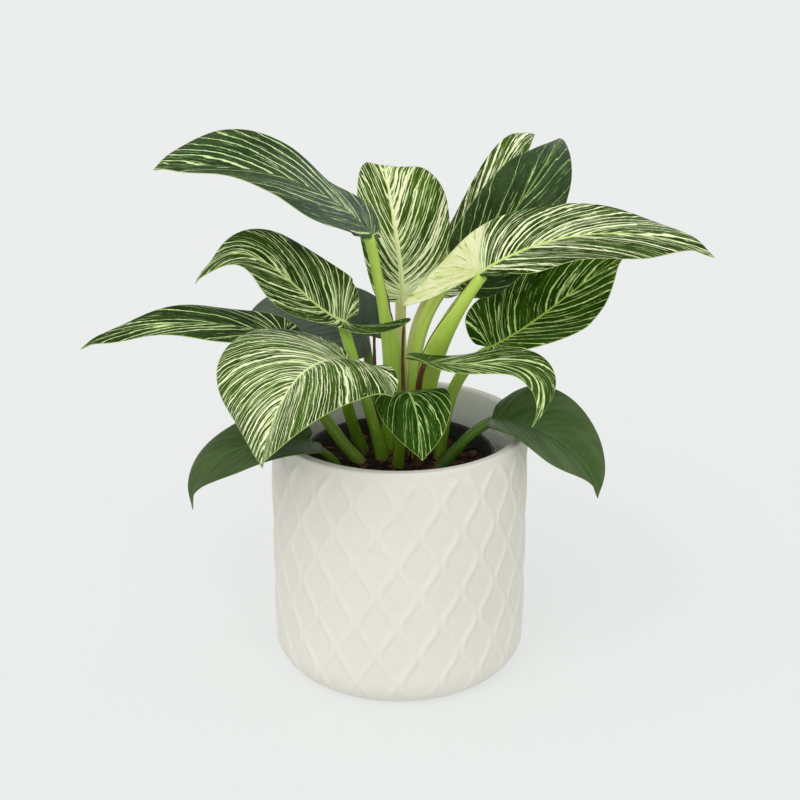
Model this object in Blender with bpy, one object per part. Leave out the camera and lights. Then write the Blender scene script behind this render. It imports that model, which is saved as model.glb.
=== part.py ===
"""Potted philodendron: a variegated foliage plant in a grow pot, set inside a ribbed cover pot.

Millimetres in the tables, metres in the meshes, +Z up. The origin is the centre of the cover pot's
underside. The front is -Y.
"""
import math

import bmesh
import bpy
import numpy as np
from mathutils import Matrix, Vector, noise
from mathutils.bvhtree import BVHTree

MM = 0.001
GAP = 0.3

# Cover pot
POT_RADIUS = 82.5
POT_HEIGHT = 165.0
POT_WALL = 6.0
POT_FLOOR = 8.0
FOOT_REACH = 15.5
FOOT_RISE = 21.0
RIM_ROUND = 1.4
CELLS_ROUND = 19
CELL_HEIGHT = 41.25
RIB_WIDTH = 3.6
RIB_RISE = 1.1
RIB_SWING = 0.36
PINCH_ANGLE = -29.1
PINCH_HEIGHT = 122.0
RIB_BOTTOM = 5.0
RIB_TOP = 161.0
ROWS_A_CELL = 6

# Grow pot
GROW_RIM_RADIUS = 62.0
GROW_TOP = 146.0
GROW_BODY_TOP_RADIUS = 59.5
GROW_FOOT_RADIUS = 47.0
GROW_WALL = 1.6
GROW_FLOOR = 3.0
GROW_LIP = 9.0
GROW_SIDES = 36
DRAIN_COUNT = 5
DRAIN_RADIUS = 4.0
DRAIN_CIRCLE = 30.0

# Potting mix
SOIL_TOP = 140.0
SOIL_FALL = 4.0
SOIL_ROUGH = 1.6

# Crown of the plant
CROWN_RADIUS = 5.5
CROWN_RISE = 7.0
FOOT_DEPTH = 13.0

# Leaves
BLADE_THICK = 1.0
KEEL = 1.3
STALK_SIDES = 8
STALK_STEPS = 6
SEAT_START = 9.0
SEAT_STEP = 0.05
VEINS = 12
ACROSS = 3

# Half outlines of blades from the stalk round to the tip: along the midrib in lengths (behind the stalk
# in lobe depths), and out from the midrib in widths.
HEART = [(-0.35, 0.10), (-0.85, 0.22), (-1.0, 0.45), (-0.62, 0.74), (0.04, 0.93), (0.20, 1.0),
         (0.36, 0.99), (0.52, 0.88), (0.68, 0.67), (0.82, 0.40), (0.93, 0.14), (1.0, 0.0)]
OVAL = [(0.0, 0.06), (0.0, 0.18), (0.01, 0.34), (0.03, 0.58), (0.10, 0.84), (0.21, 0.98),
        (0.36, 1.0), (0.52, 0.90), (0.68, 0.69), (0.82, 0.41), (0.93, 0.14), (1.0, 0.0)]
LOBED = [(-0.35, 0.05), (-0.85, 0.10), (-1.0, 0.22), (-0.62, 0.46), (0.04, 0.80), (0.20, 0.98),
         (0.36, 1.0), (0.52, 0.91), (0.68, 0.72), (0.82, 0.45), (0.93, 0.17), (1.0, 0.0)]
LATE = [(-0.35, 0.10), (-0.85, 0.22), (-1.0, 0.38), (-0.62, 0.56), (0.04, 0.68), (0.18, 0.74),
        (0.34, 0.86), (0.50, 0.98), (0.66, 1.0), (0.80, 0.80), (0.92, 0.38), (1.0, 0.0)]
BROAD = [(-0.35, 0.10), (-0.85, 0.22), (-1.0, 0.42), (-0.62, 0.68), (0.04, 0.88), (0.20, 0.98),
         (0.36, 1.0), (0.52, 0.93), (0.68, 0.76), (0.82, 0.50), (0.93, 0.20), (1.0, 0.0)]
SLIM = [(0.0, 0.04), (0.01, 0.10), (0.03, 0.20), (0.07, 0.38), (0.14, 0.62), (0.25, 0.86),
        (0.38, 0.98), (0.53, 0.97), (0.69, 0.76), (0.82, 0.46), (0.93, 0.16), (1.0, 0.0)]
SPUR = [(-0.35, 0.05), (-0.85, 0.11), (-1.0, 0.20), (-0.62, 0.36), (0.04, 0.40), (0.16, 0.56),
        (0.30, 0.84), (0.46, 1.0), (0.64, 0.88), (0.80, 0.54), (0.93, 0.17), (1.0, 0.0)]
# Where the vein that ends at each of those points leaves the midrib, in lengths.
VEIN_STARTS = [0.0, 0.01, 0.02, 0.035, 0.06, 0.11, 0.20, 0.34, 0.50, 0.67, 0.84, 1.0]

# One row for each leaf.
# path: four points of the midrib, from the stalk to the tip; width: half width of the blade
# facing: where the upper face looks, at even steps from the base to the tip
# fold: degrees by which the halves rise from flat, at even steps from the base to the tip
# lobe: depth of the lobes behind the stalk, in lengths; lift: how far the lobes turn up
# curl: degrees by which a half bends down from the midrib to its margin
# A name that ends in _left is for the left half alone, seen from the stalk with the upper face up.
# stalk: three points from the soil up, and its radius at the soil and at the blade
# wing: how far the stalk's open sheath stands out along X in mm, and the shares of the stalk's length where
# it begins, is full, starts to narrow and ends
LEAVES = {
    "leaf_01": dict(
        path=[(-17, 0, 290), (-45, -9, 318), (-98, -15, 337), (-148, -20, 337)], width=34, width_left=33,
        facing=[(0.7, -0.15, 0.7), (0.1, -0.2, 1.0), (0.1, -0.25, 1.0), (0.1, -0.4, 1.0), (0.1, -0.3, 1.0)],
        fold=(8, 0, 10, 10, 8), fold_left=(-10, -10, 8, 20, 18), lobe=0.06, lobe_left=0.0,
        outline=LATE, outline_left=SLIM,
        stalk=[(-8, 11, 139), (-6, 11, 191), (-10, 9, 240)], radius=(5.2, 3.6),
        wing=(5.5, 0.15, 0.35, 0.42, 0.66)),
    "leaf_02": dict(
        path=[(1, 42, 235), (-3, 46, 283), (-9, 66, 315), (-7, 100, 300)], width=37, width_left=26,
        facing=[(0.35, -0.9, 0.1), (0.35, -0.9, 0.2), (0.25, -0.8, 0.4), (0.1, -0.35, 1.0), (0.0, 0.2, 1.0)],
        fold=(16, 14, 10, 0, -8), lobe=0.0, outline=SLIM, outline_left=OVAL,
        stalk=[(2, 26, 138), (2, 32, 177), (1, 38, 207)], radius=(4.0, 3.4)),
    "leaf_03": dict(
        path=[(23, 60, 236), (51, 64, 283), (79, 82, 334), (90, 112, 326)], width=20, width_left=16,
        facing=[(-0.4, -0.9, 0.2), (-0.5, -0.8, 0.4), (0.0, 0.0, 1.0)],
        fold=(12, 5, 0), lobe=0.0, outline=OVAL,
        stalk=[(12, 31, 138), (8, 41, 173), (9, 53, 202)], radius=(4.0, 3.2)),
    "leaf_04": dict(
        path=[(33, 20, 256), (67, 25, 291), (96, 45, 330), (106, 80, 334)], width=29, width_left=26,
        facing=[(0.2, -1.0, 0.0), (0.1, -0.9, 0.2), (0.15, -0.85, 0.4), (0.4, -0.3, 0.9), (0.4, 0.0, 1.0)],
        fold=(30, 18, 6, -6, -10), fold_left=(30, 14, 0, -24, -30), lobe=0.0, outline=OVAL,
        stalk=[(10, 16, 139), (9, 16, 181), (13, 17, 217)], radius=(4.6, 3.6)),
    "leaf_05": dict(
        path=[(49, -22, 272), (91, -27, 294), (135, -30, 300), (191, -33, 286)], width=34,
        facing=[(-0.5, -0.3, 0.8), (0.0, -0.25, 1.0), (0.2, -0.3, 1.0)],
        fold=(10, 2, 2), fold_left=(28, 2, 2), lobe=0.02, lobe_left=0.34, lift_left=8,
        outline=SLIM, outline_left=LOBED,
        stalk=[(13, 2, 139), (19, -4, 189), (30, -13, 230)], radius=(5.4, 3.8),
        wing=(-8.4, 0.2, 0.55, 0.6, 0.98)),
    "leaf_06": dict(
        path=[(58, 14, 211), (83, 16, 226), (112, 28, 245), (147, 46, 264)], width=35,
        facing=[(-0.5, -0.35, 0.8), (-0.4, -0.7, 0.8), (-0.3, -0.7, 0.7)],
        fold=(36, 8, 8), lobe=0.08, outline=HEART,
        stalk=[(26, 5, 139), (30, 6, 168), (40, 10, 194)], radius=(4.8, 3.6)),
    "leaf_07": dict(
        path=[(-34, -6, 236), (-61, -13, 258), (-96, -21, 285), (-125, -28, 268)], width=30, width_left=24,
        facing=[(0.1, -0.5, 0.8), (0.0, -0.45, 0.9), (-0.5, -0.3, 0.8)],
        fold=(24, 7, -8), fold_left=(10, 2, 4),
        lobe=0.08, lobe_left=0.35, lift_left=22, outline=HEART, outline_left=SPUR,
        stalk=[(-11, -1, 139), (-18, -1, 170), (-28, -3, 205)], radius=(4.4, 3.4)),
    "leaf_08": dict(
        path=[(-29, -46, 221), (-59, -76, 225), (-73, -96, 207), (-81, -102, 177)], width=57, width_left=58,
        facing=[(0.0, -0.1, 1.0), (-0.4, -0.6, 0.7), (-0.8, -0.7, 0.2)],
        fold=(2, 4, -2), fold_left=(0, 2, 8), curl_left=34, lobe=0.05, lobe_left=0.07, lift_left=4,
        outline=BROAD, outline_left=HEART,
        stalk=[(-24, 13, 138), (-31, -2, 168), (-34, -24, 194)], radius=(4.4, 3.4)),
    "leaf_09": dict(
        path=[(15, -38, 221), (47, -42, 221), (82, -50, 217), (81, -60, 186)], width=17, width_left=25,
        facing=[(0.0, 0.25, 1.0), (0.2, -0.15, 1.0), (0.5, -0.8, 0.3)], fold=(2, 0, 0), lobe=0.17,
        stalk=[(12, -10, 139), (12, -15, 168), (12, -24, 198)], radius=(2.8, 1.8), outline=HEART),
    "leaf_10": dict(
        path=[(-74, 20, 217), (-120, 14, 228), (-166, 8, 227), (-204, 2, 215)], width=24,
        facing=[(0.0, -0.15, 1.0), (0.0, -0.15, 1.0), (-0.3, -0.2, 1.0)], fold=(4, 3, 3), lobe=0.1,
        stalk=[(-25, -3, 138), (-45, 2, 163), (-64, 13, 193)], radius=(4.8, 3.4), outline=HEART),
    "leaf_11": dict(
        path=[(-22, 60, 204), (-47, 70, 217), (-74, 79, 219), (-109, 86, 204)], width=30,
        facing=[(0.0, -0.4, 1.0), (-0.1, -0.4, 1.0), (-0.3, -0.2, 1.0)], fold=(6, 0, 0), lobe=0.1,
        stalk=[(-12, 29, 138), (-16, 38, 163), (-20, 51, 185)], radius=(4.0, 3.0), outline=HEART),
    "leaf_12": dict(
        path=[(-56, -45, 171), (-81, -52, 173), (-115, -56, 162), (-129, -58, 130)], width=26,
        facing=[(0.0, -0.2, 1.0), (-0.1, -0.3, 1.0), (-0.8, -0.3, 0.5)], fold=(16, 3, 3), lobe=0.04,
        stalk=[(-37, -29, 138), (-40, -31, 149), (-47, -37, 160)], radius=(3.2, 2.4), outline=HEART),
    "leaf_13": dict(
        path=[(5, -36, 200), (8, -49, 200), (12, -63, 188), (14, -72, 169)], width=23,
        facing=[(0.0, 0.0, 1.0), (0.0, -0.6, 0.8), (0.0, -0.9, 0.3)], fold=(0, 2, 2), lobe=0.1,
        stalk=[(-1, -12, 139), (1, -20, 165), (3, -28, 185)], radius=(3.6, 2.8), outline=HEART),
    "leaf_14": dict(
        path=[(59, -10, 172), (84, -17, 169), (112, -24, 153), (127, -30, 125)], width=34,
        facing=[(0.0, -0.1, 1.0), (0.2, -0.4, 1.0), (0.7, -0.5, 0.5)], fold=(16, 16, 16), lobe=0.0,
        stalk=[(26, -13, 139), (34, -13, 149), (45, -12, 161)], radius=(4.4, 3.4), outline=OVAL),
}
CURL = 4.0

# Dried sheaths that stand among the stalks: four points from the soil up, width at the foot and the top
SHEATHS = {
    "dried_sheath_01": dict(
        path=[(4, -3, 139), (3, 0, 175), (2, 5, 205), (3, 6, 232)], width=(4.0, 1.6)),
    "dried_sheath_02": dict(
        path=[(-15, 21, 138), (-15, 21, 172), (-16, 20, 200), (-16, 19, 226)], width=(3.6, 1.8)),
    "dried_sheath_03": dict(
        path=[(-3, 18, 138), (-3, 17.5, 180), (-5, 16.5, 225), (-9, 15, 252)], width=(3.2, 1.4)),
}
SHEATH_THICK = 0.9
SHEATH_STEPS = 5
SHEATH_SIDES = 6

COLOURS = {
    "glazed_pot": ((0.80, 0.77, 0.69), 0.55),
    "grow_pot_plastic": ((0.015, 0.015, 0.016), 0.5),
    "potting_mix": ((0.045, 0.026, 0.017), 0.95),
    "stalk_green": ((0.28, 0.50, 0.06), 0.42),
    "stalk_tan": ((0.52, 0.45, 0.20), 0.45),
    "striped_blade": ((0.10, 0.22, 0.05), 0.40),
    "dark_blade": ((0.03, 0.09, 0.03), 0.38),
    "dried_sheath": ((0.20, 0.07, 0.02), 0.7),
}
TAN_STALKS = ("leaf_02", "leaf_03")
DARK_BLADES = ("leaf_11", "leaf_12", "leaf_14")


def clear_scene():
    for thing in list(bpy.data.objects):
        bpy.data.objects.remove(thing, do_unlink=True)


def material(name):
    """Plain material with the part's colour and roughness."""
    found = bpy.data.materials.get(name)
    if found:
        return found
    colour, roughness = COLOURS[name]
    made = bpy.data.materials.new(name)
    made.use_nodes = True
    shader = made.node_tree.nodes["Principled BSDF"]
    shader.inputs["Base Color"].default_value = (*colour, 1.0)
    shader.inputs["Roughness"].default_value = roughness
    shader.inputs["Metallic"].default_value = 0.0
    return made


def add_solid(name, corners, faces, slot, smooth_angle=50.0):
    """Object from corners in mm and faces, with its faces turned outward."""
    mesh = bpy.data.meshes.new(name)
    mesh.from_pydata([tuple(c * MM for c in corner) for corner in corners], [], faces)
    work = bmesh.new()
    work.from_mesh(mesh)
    bmesh.ops.recalc_face_normals(work, faces=work.faces)
    if work.calc_volume(signed=True) < 0.0:
        bmesh.ops.reverse_faces(work, faces=work.faces)
    work.to_mesh(mesh)
    work.free()
    mesh.shade_smooth()
    mesh.set_sharp_from_angle(angle=math.radians(smooth_angle))
    mesh.materials.append(material(slot))
    solid = bpy.data.objects.new(name, mesh)
    bpy.context.scene.collection.objects.link(solid)
    return solid


def unit(vector):
    vector = np.asarray(vector, float)
    return vector / np.linalg.norm(vector)


def smooth_step(value, low, high):
    share = min(max((value - low) / (high - low), 0.0), 1.0)
    return share * share * (3.0 - 2.0 * share)


def ring_solid(name, rings, slot, smooth_angle=50.0):
    """Closed skin over rings, each as large as the last or a whole part of it; fans close the ends."""
    corners = []
    rows = []
    for ring in rings:
        rows.append(range(len(corners), len(corners) + len(ring)))
        corners.extend(ring)
    faces = []
    for low, high in zip(rows, rows[1:]):
        times = len(low) // len(high)
        for column in range(len(high)):
            after = (column + 1) % len(high)
            if times == 1:
                faces.append((low[column], low[after], high[after], high[column]))
                continue
            for step in range(times):
                i = column * times + step
                faces.append((low[i], low[(i + 1) % len(low)], high[column]))
            faces.append((low[(column + 1) * times % len(low)], high[after], high[column]))
    for row, ring in ((rows[0], rings[0]), (rows[-1], rings[-1])):
        middle = len(corners)
        corners.append(tuple(np.mean(ring, axis=0)))
        for column in range(len(row)):
            faces.append((row[column], row[(column + 1) % len(row)], middle))
    return add_solid(name, corners, faces, slot, smooth_angle)


def turned(name, profile, sides, slot):
    """Solid turned about Z from (radius, height) points."""
    angles = [2.0 * math.pi * i / sides for i in range(sides)]
    rings = [[(r * math.cos(a), r * math.sin(a), z) for a in angles] for r, z in profile]
    return ring_solid(name, rings, slot)


# The cover pot

def foot_profile(steps):
    """Outer profile up the rounded foot: radius, height and how far the ribs lean outward there."""
    points = []
    for i in range(steps + 1):
        turn = 0.5 * math.pi * i / steps
        radius = POT_RADIUS - FOOT_REACH + FOOT_REACH * math.sin(turn)
        height = FOOT_RISE * (1.0 - math.cos(turn))
        points.append((radius, height, math.sin(turn), -math.cos(turn)))
    return points


def rib_angle(rib, height):
    """Middle of a wavy rib, in degrees from the front; each rib mirrors the next, so they pinch."""
    pitch = 180.0 / CELLS_ROUND
    swing = RIB_SWING * pitch * math.cos(2.0 * math.pi * (height - PINCH_HEIGHT) / CELL_HEIGHT)
    start = PINCH_ANGLE - 0.5 * pitch
    return start + rib * pitch + (swing if rib % 2 == 0 else -swing)


def pot_ring(radius, height, out, down, with_ribs=True):
    """Ring of corners, three to a rib: its left edge, its ridge and its right edge."""
    rise = RIB_RISE * smooth_step(height, RIB_BOTTOM, RIB_BOTTOM + 9.0)
    rise *= 1.0 - smooth_step(height, RIB_TOP - 5.0, RIB_TOP)
    half = math.degrees(0.5 * RIB_WIDTH / POT_RADIUS)
    ring = []
    for rib in range(2 * CELLS_ROUND):
        middle = rib_angle(rib, height)
        for side in (-1, 0, 1):
            angle = math.radians(middle + side * half)
            lift = rise if side == 0 and with_ribs else 0.0
            r = radius + lift * out
            ring.append((r * math.sin(angle), -r * math.cos(angle), height + lift * down))
    return ring


def build_cover_pot():
    rings = []
    foot = foot_profile(4)
    for radius, height, out, down in foot:
        rings.append(pot_ring(radius, height, out, down))
    row_height = CELL_HEIGHT / ROWS_A_CELL
    height = PINCH_HEIGHT - CELL_HEIGHT * 2
    while height < RIB_TOP:
        if height > FOOT_RISE + 2.0:
            rings.append(pot_ring(POT_RADIUS, height, 1.0, 0.0))
        height += row_height
    outer = POT_RADIUS
    inner = POT_RADIUS - POT_WALL
    top = POT_HEIGHT
    edge = RIM_ROUND
    outside = [(outer, top - edge), (outer - 0.3 * edge, top - 0.3 * edge), (outer - edge, top)]
    for radius, height in outside:
        rings.append(pot_ring(radius, height, 1.0, 0.0, with_ribs=False))
    inside = [(inner + edge, top), (inner + 0.3 * edge, top - 0.3 * edge), (inner, top - edge),
              (inner, POT_FLOOR + 12.0), (inner - 4.0, POT_FLOOR + 3.0), (inner - 12.0, POT_FLOOR)]
    pitch = math.radians(180.0 / CELLS_ROUND)
    start = math.radians(PINCH_ANGLE) - 0.25 * pitch
    for radius, height in inside:
        angles = [start + pitch * rib for rib in range(2 * CELLS_ROUND)]
        rings.append([(radius * math.sin(a), -radius * math.cos(a), height) for a in angles])
    return ring_solid("cover_pot", rings, "glazed_pot", 60.0)


# The grow pot and what fills it

def grow_wall_radius(height):
    """Outer radius of the grow pot's tapered body."""
    share = (height - POT_FLOOR) / (GROW_TOP - POT_FLOOR)
    return GROW_FOOT_RADIUS + (GROW_BODY_TOP_RADIUS - GROW_FOOT_RADIUS) * share


def build_grow_pot():
    bottom = POT_FLOOR + GAP
    floor_top = bottom + GROW_FLOOR
    lip = GROW_TOP - GROW_LIP
    rim = GROW_RIM_RADIUS
    profile = [(GROW_FOOT_RADIUS - 2.0, bottom), (GROW_FOOT_RADIUS, bottom + 2.0),
               (grow_wall_radius(lip), lip), (rim - 0.6, lip + 0.5), (rim, lip + 1.5),
               (rim, GROW_TOP - 0.8), (rim - 0.8, GROW_TOP), (rim - 1.6, GROW_TOP),
               (grow_wall_radius(GROW_TOP) - GROW_WALL + 0.8, GROW_TOP - 1.0),
               (grow_wall_radius(lip) - GROW_WALL, lip),
               (grow_wall_radius(floor_top) - GROW_WALL, floor_top)]
    pot = turned("grow_pot", profile, GROW_SIDES, "grow_pot_plastic")
    drains = bmesh.new()
    for i in range(DRAIN_COUNT):
        angle = 2.0 * math.pi * i / DRAIN_COUNT
        place = Vector((DRAIN_CIRCLE * math.cos(angle), DRAIN_CIRCLE * math.sin(angle), bottom)) * MM
        bmesh.ops.create_cone(drains, cap_ends=True, segments=12, radius1=DRAIN_RADIUS * MM,
                              radius2=DRAIN_RADIUS * MM, depth=12.0 * MM, matrix=Matrix.Translation(place))
    cut_away(pot, drains, "drain_cutter")
    return pot


def cut_away(solid, shapes, name):
    """Cut a bmesh of closed shapes out of a solid, and drop the cutter."""
    mesh = bpy.data.meshes.new(name)
    bmesh.ops.recalc_face_normals(shapes, faces=shapes.faces)
    shapes.to_mesh(mesh)
    shapes.free()
    cutter = bpy.data.objects.new(name, mesh)
    cutter.hide_render = True
    cutter.display_type = "WIRE"
    bpy.context.scene.collection.objects.link(cutter)
    cut = solid.modifiers.new("cut", "BOOLEAN")
    cut.operation = "DIFFERENCE"
    cut.solver = "EXACT"
    cut.object = cutter
    bpy.context.view_layer.update()
    done = bpy.data.meshes.new_from_object(solid.evaluated_get(bpy.context.evaluated_depsgraph_get()))
    solid.modifiers.clear()
    solid.data = done
    bpy.data.objects.remove(cutter, do_unlink=True)


def soil_height(x, y):
    """Top of the potting mix: a low mound with a crumbly surface."""
    reach = math.hypot(x, y) / GROW_BODY_TOP_RADIUS
    lumps = noise.noise(Vector((x * 0.11, y * 0.11, 3.7)))
    crumbs = noise.noise(Vector((x * 0.27, y * 0.27, 9.1)))
    return SOIL_TOP - SOIL_FALL * reach * reach + SOIL_ROUGH * (lumps + 0.6 * crumbs)


def build_soil(feet):
    """Plug of potting mix with a plain hole round each foot that stands in it."""
    angles = [2.0 * math.pi * i / GROW_SIDES for i in range(GROW_SIDES)]
    low = POT_FLOOR + GAP + GROW_FLOOR + GAP
    side_gap = GROW_WALL + GAP + 0.2
    rings = []
    top_radius = grow_wall_radius(136.0) - side_gap
    for radius, height in ((grow_wall_radius(low) - side_gap, low), (top_radius, 134.0)):
        rings.append([(radius * math.cos(a), radius * math.sin(a), height) for a in angles])
    for share in (1.0, 0.82, 0.64, 0.46, 0.28):
        radius = top_radius * share
        ring = []
        for a in angles:
            x = radius * math.cos(a)
            y = radius * math.sin(a)
            ring.append((x, y, soil_height(x, y)))
        rings.append(ring)
    soil = ring_solid("potting_mix", rings, "potting_mix", 80.0)
    holes = bmesh.new()
    for rings_of_hole in feet:
        add_tube(holes, rings_of_hole)
    cut_away(soil, holes, "hole_cutter")
    return soil


def add_tube(work, rings):
    """Closed tube through rings of corners in mm, added to a bmesh."""
    rows = [[work.verts.new(Vector(corner) * MM) for corner in ring] for ring in rings]
    count = len(rings[0])
    for low, high in zip(rows, rows[1:]):
        for i in range(count):
            j = (i + 1) % count
            work.faces.new((low[i], low[j], high[j], high[i]))
    work.faces.new(list(reversed(rows[0])))
    work.faces.new(rows[-1])


# Stalks, sheaths and crown

def eased(value, low, high):
    share = min(max((value - low) / (high - low), 0.0), 1.0)
    return share * share * (3.0 - 2.0 * share)


def through_points(points, share):
    """Place and direction at a share of the smooth curve through the points."""
    points = np.asarray(points, float)
    steps = np.concatenate([[0.0], np.cumsum(np.linalg.norm(np.diff(points, axis=0), axis=1))])
    steps /= steps[-1]
    place = np.zeros(3)
    slope = np.zeros(3)
    for axis in range(3):
        cubic = np.polyfit(steps, points[:, axis], len(points) - 1)
        place[axis] = np.polyval(cubic, share)
        slope[axis] = np.polyval(np.polyder(cubic), share)
    return place, slope


def tube_rings(stations, sides, flatten=1.0):
    """Rings of a tube through (place, direction, radius) stations, turned as little as possible."""
    side = unit(np.cross(stations[0][1], (0.0, 1.0, 0.01)))
    rings = []
    for place, direction, radius in stations:
        along = unit(direction)
        side = unit(side - along * np.dot(side, along))
        up = np.cross(along, side)
        ring = []
        for i in range(sides):
            angle = 2.0 * math.pi * i / sides
            ring.append(tuple(place + radius * (side * math.cos(angle) + up * flatten * math.sin(angle))))
        rings.append(ring)
    return rings


def stalk_stations(points, radii, steps, foot_depth, wider=0.0):
    """Stations from the foot in the soil up to the end of a stalk, a little wider for a hole."""
    start, slope = through_points(points, 0.0)
    down = unit(slope * (0.35, 0.35, 1.0))
    stations = [(start - down * (foot_depth + wider), down, radii[0] * 0.8 + wider),
                (start - down * 2.0, down, radii[0] + wider)]
    for i in range(1, steps + 1):
        share = i / steps
        place, slope = through_points(points, share)
        radius = radii[0] + (radii[1] - radii[0]) * share ** 0.7
        stations.append((place, slope, radius + wider))
    return stations


def add_wing(rings, stations, wing):
    """Draw the rings out to one side, where the stalk's open sheath stands out from it."""
    reach, begin, full, narrow, end = wing
    way = math.copysign(1.0, reach)
    for i, (place, slope, radius) in enumerate(stations):
        share = max(i - 1, 0) / STALK_STEPS
        weight = eased(share, begin, full) * (1.0 - eased(share, narrow, end))
        rings[i] = [(x + reach * weight * max(0.0, (x - place[0]) * way / radius), y, z) for x, y, z in rings[i]]


def hole_for(points, radii, steps, sides, foot_depth, flatten=1.0):
    """Rings of the plain hole round a foot: the foot's own shape, a gap wider, up out of the soil."""
    wider = GAP + 0.1
    stations = stalk_stations(points, radii, steps, foot_depth, wider)
    flatten = (radii[0] * flatten + wider) / (radii[0] + wider)
    return tube_rings(stations[:4], sides, flatten)


def stalk_points(leaf, drop):
    """The stalk's four points: the last lies under the blade's base, or before it on an upright leaf."""
    base, slope = through_points(leaf["path"], 0.0)
    along = unit(slope)
    facing = np.asarray(leaf["facing"][0], float)
    up = unit(facing - along * np.dot(facing, along))
    way = unit(base - np.asarray(leaf["stalk"][-1], float))
    if leaf["lobe"] == 0.0 and np.dot(way, up) < 0.5:
        up = way
    return leaf["stalk"] + [tuple(base - up * drop)]


def clearance(blade, rings):
    """Smallest distance in mm from a blade to the last stretch of its stalk."""
    corners = [v.co / MM for v in blade.data.vertices]
    skin = BVHTree.FromPolygons(corners, [p.vertices for p in blade.data.polygons])
    count = len(rings[0])
    low, high = ([Vector(corner) for corner in ring] for ring in rings[-2:])
    middle = sum(high, Vector()) / count
    probes = [middle]
    for i in range(count):
        after = high[(i + 1) % count]
        probes += [high[i].lerp(after, s) for s in (0.0, 0.33, 0.67)]
        probes += [high[i].lerp(low[i], s) for s in (0.1, 0.2, 0.35, 0.5)]
        probes.append(high[i].lerp(middle, 0.5))
    faces = [(i, (i + 1) % count, count + (i + 1) % count, count + i) for i in range(count)]
    faces.append(tuple(range(count, 2 * count)))
    end = BVHTree.FromPolygons(low + high, faces)
    near = [end.find_nearest(corner, 15.0)[3] for corner in corners]
    near = [distance for distance in near if distance is not None]
    return min([skin.find_nearest(probe)[3] for probe in probes] + near)


def build_stalk(name, leaf, blade):
    """Stalk brought up step by step until it all but touches its blade."""
    drop = SEAT_START
    while True:
        points = stalk_points(leaf, drop)
        stations = stalk_stations(points, leaf["radius"], STALK_STEPS, FOOT_DEPTH)
        rings = tube_rings(stations, STALK_SIDES)
        if "wing" in leaf:
            add_wing(rings, stations, leaf["wing"])
        if clearance(blade, rings) < GAP + SEAT_STEP or drop < SEAT_STEP:
            break
        drop -= SEAT_STEP
    slot = "stalk_tan" if name in TAN_STALKS else "stalk_green"
    ring_solid(name + "_stalk", rings, slot)
    return hole_for(points, leaf["radius"], STALK_STEPS, STALK_SIDES, FOOT_DEPTH)


def build_sheath(name, sheath):
    radii = [0.5 * w for w in sheath["width"]]
    flatten = SHEATH_THICK / sheath["width"][0]
    stations = stalk_stations(sheath["path"], radii, SHEATH_STEPS, 0.6 * FOOT_DEPTH)
    ring_solid(name, tube_rings(stations, SHEATH_SIDES, flatten), "dried_sheath")
    return hole_for(sheath["path"], radii, SHEATH_STEPS, SHEATH_SIDES, 0.6 * FOOT_DEPTH, flatten)


def build_crown():
    """Short stem that the stalks gather round."""
    x, y = 2.0, 6.0
    low = SOIL_TOP - 20.0
    shape = [(0.7, low), (1.0, low + 6.0), (1.0, SOIL_TOP), (0.9, SOIL_TOP + 0.6 * CROWN_RISE),
             (0.5, SOIL_TOP + CROWN_RISE)]
    stations = [(np.array((x, y, z)), (0.0, 0.0, 1.0), CROWN_RADIUS * r) for r, z in shape]
    ring_solid("crown", tube_rings(stations, 10), "stalk_green")
    wider = GAP + 0.1
    ends = (low - wider, SOIL_TOP + 10.0)
    hole = [(np.array((x, y, z)), (0.0, 0.0, 1.0), CROWN_RADIUS + wider) for z in ends]
    return tube_rings(hole, 10)


# Leaf blades

def between(values, share):
    """Value at a share of the length, eased between the evenly spaced ones given."""
    place = min(max(share, 0.0), 1.0) * (len(values) - 1)
    i = min(int(place), len(values) - 2)
    s = place - i
    ease = 0.5 * s + 0.5 * s * s * (3.0 - 2.0 * s)
    return np.asarray(values[i], float) * (1.0 - ease) + np.asarray(values[i + 1], float) * ease


def bend(knots, values, at):
    """Smooth value between hand-set ones, with no overshoot."""
    slopes = np.gradient(np.asarray(values, float), knots)
    i = min(max(int(np.searchsorted(knots, at)) - 1, 0), len(knots) - 2)
    span = knots[i + 1] - knots[i]
    s = (at - knots[i]) / span
    rise = values[i + 1] - values[i]
    first = slopes[i] * span
    last = slopes[i + 1] * span
    if rise == 0.0:
        first = 0.0
        last = 0.0
    return (values[i] + first * s + (3.0 * rise - 2.0 * first - last) * s * s
            + (first + last - 2.0 * rise) * s * s * s)


def half_of(leaf, across):
    """The numbers of the half of a blade that a place across it belongs to."""
    ending = "_left" if across < 0.0 else ""
    half = {}
    for key in ("outline", "width", "fold", "lobe"):
        half[key] = leaf.get(key + ending, leaf[key])
    half["curl"] = leaf.get("curl" + ending, CURL)
    half["lift"] = leaf.get("lift" + ending, 0.0)
    return half


def flat_place(half, length, vein, across):
    """Place on the flat blade, in mm: along the midrib and out from it, by vein and share across."""
    knots = np.linspace(0.0, 1.0, len(half["outline"]))
    edge_alongs = [a * (half["lobe"] if a < 0.0 else 1.0) for a, b in half["outline"]]
    edge_along = bend(knots, edge_alongs, vein) * length
    edge_out = bend(knots, [b for a, b in half["outline"]], vein) * half["width"]
    start = bend(knots, VEIN_STARTS, vein) * length
    k = abs(across)
    middle = start + 0.30 * (edge_along - start)
    along = (1.0 - k) ** 2 * start + 2.0 * k * (1.0 - k) * middle + k * k * edge_along
    out = 2.0 * k * (1.0 - k) * 0.55 * edge_out + k * k * edge_out
    return along, out


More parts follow.
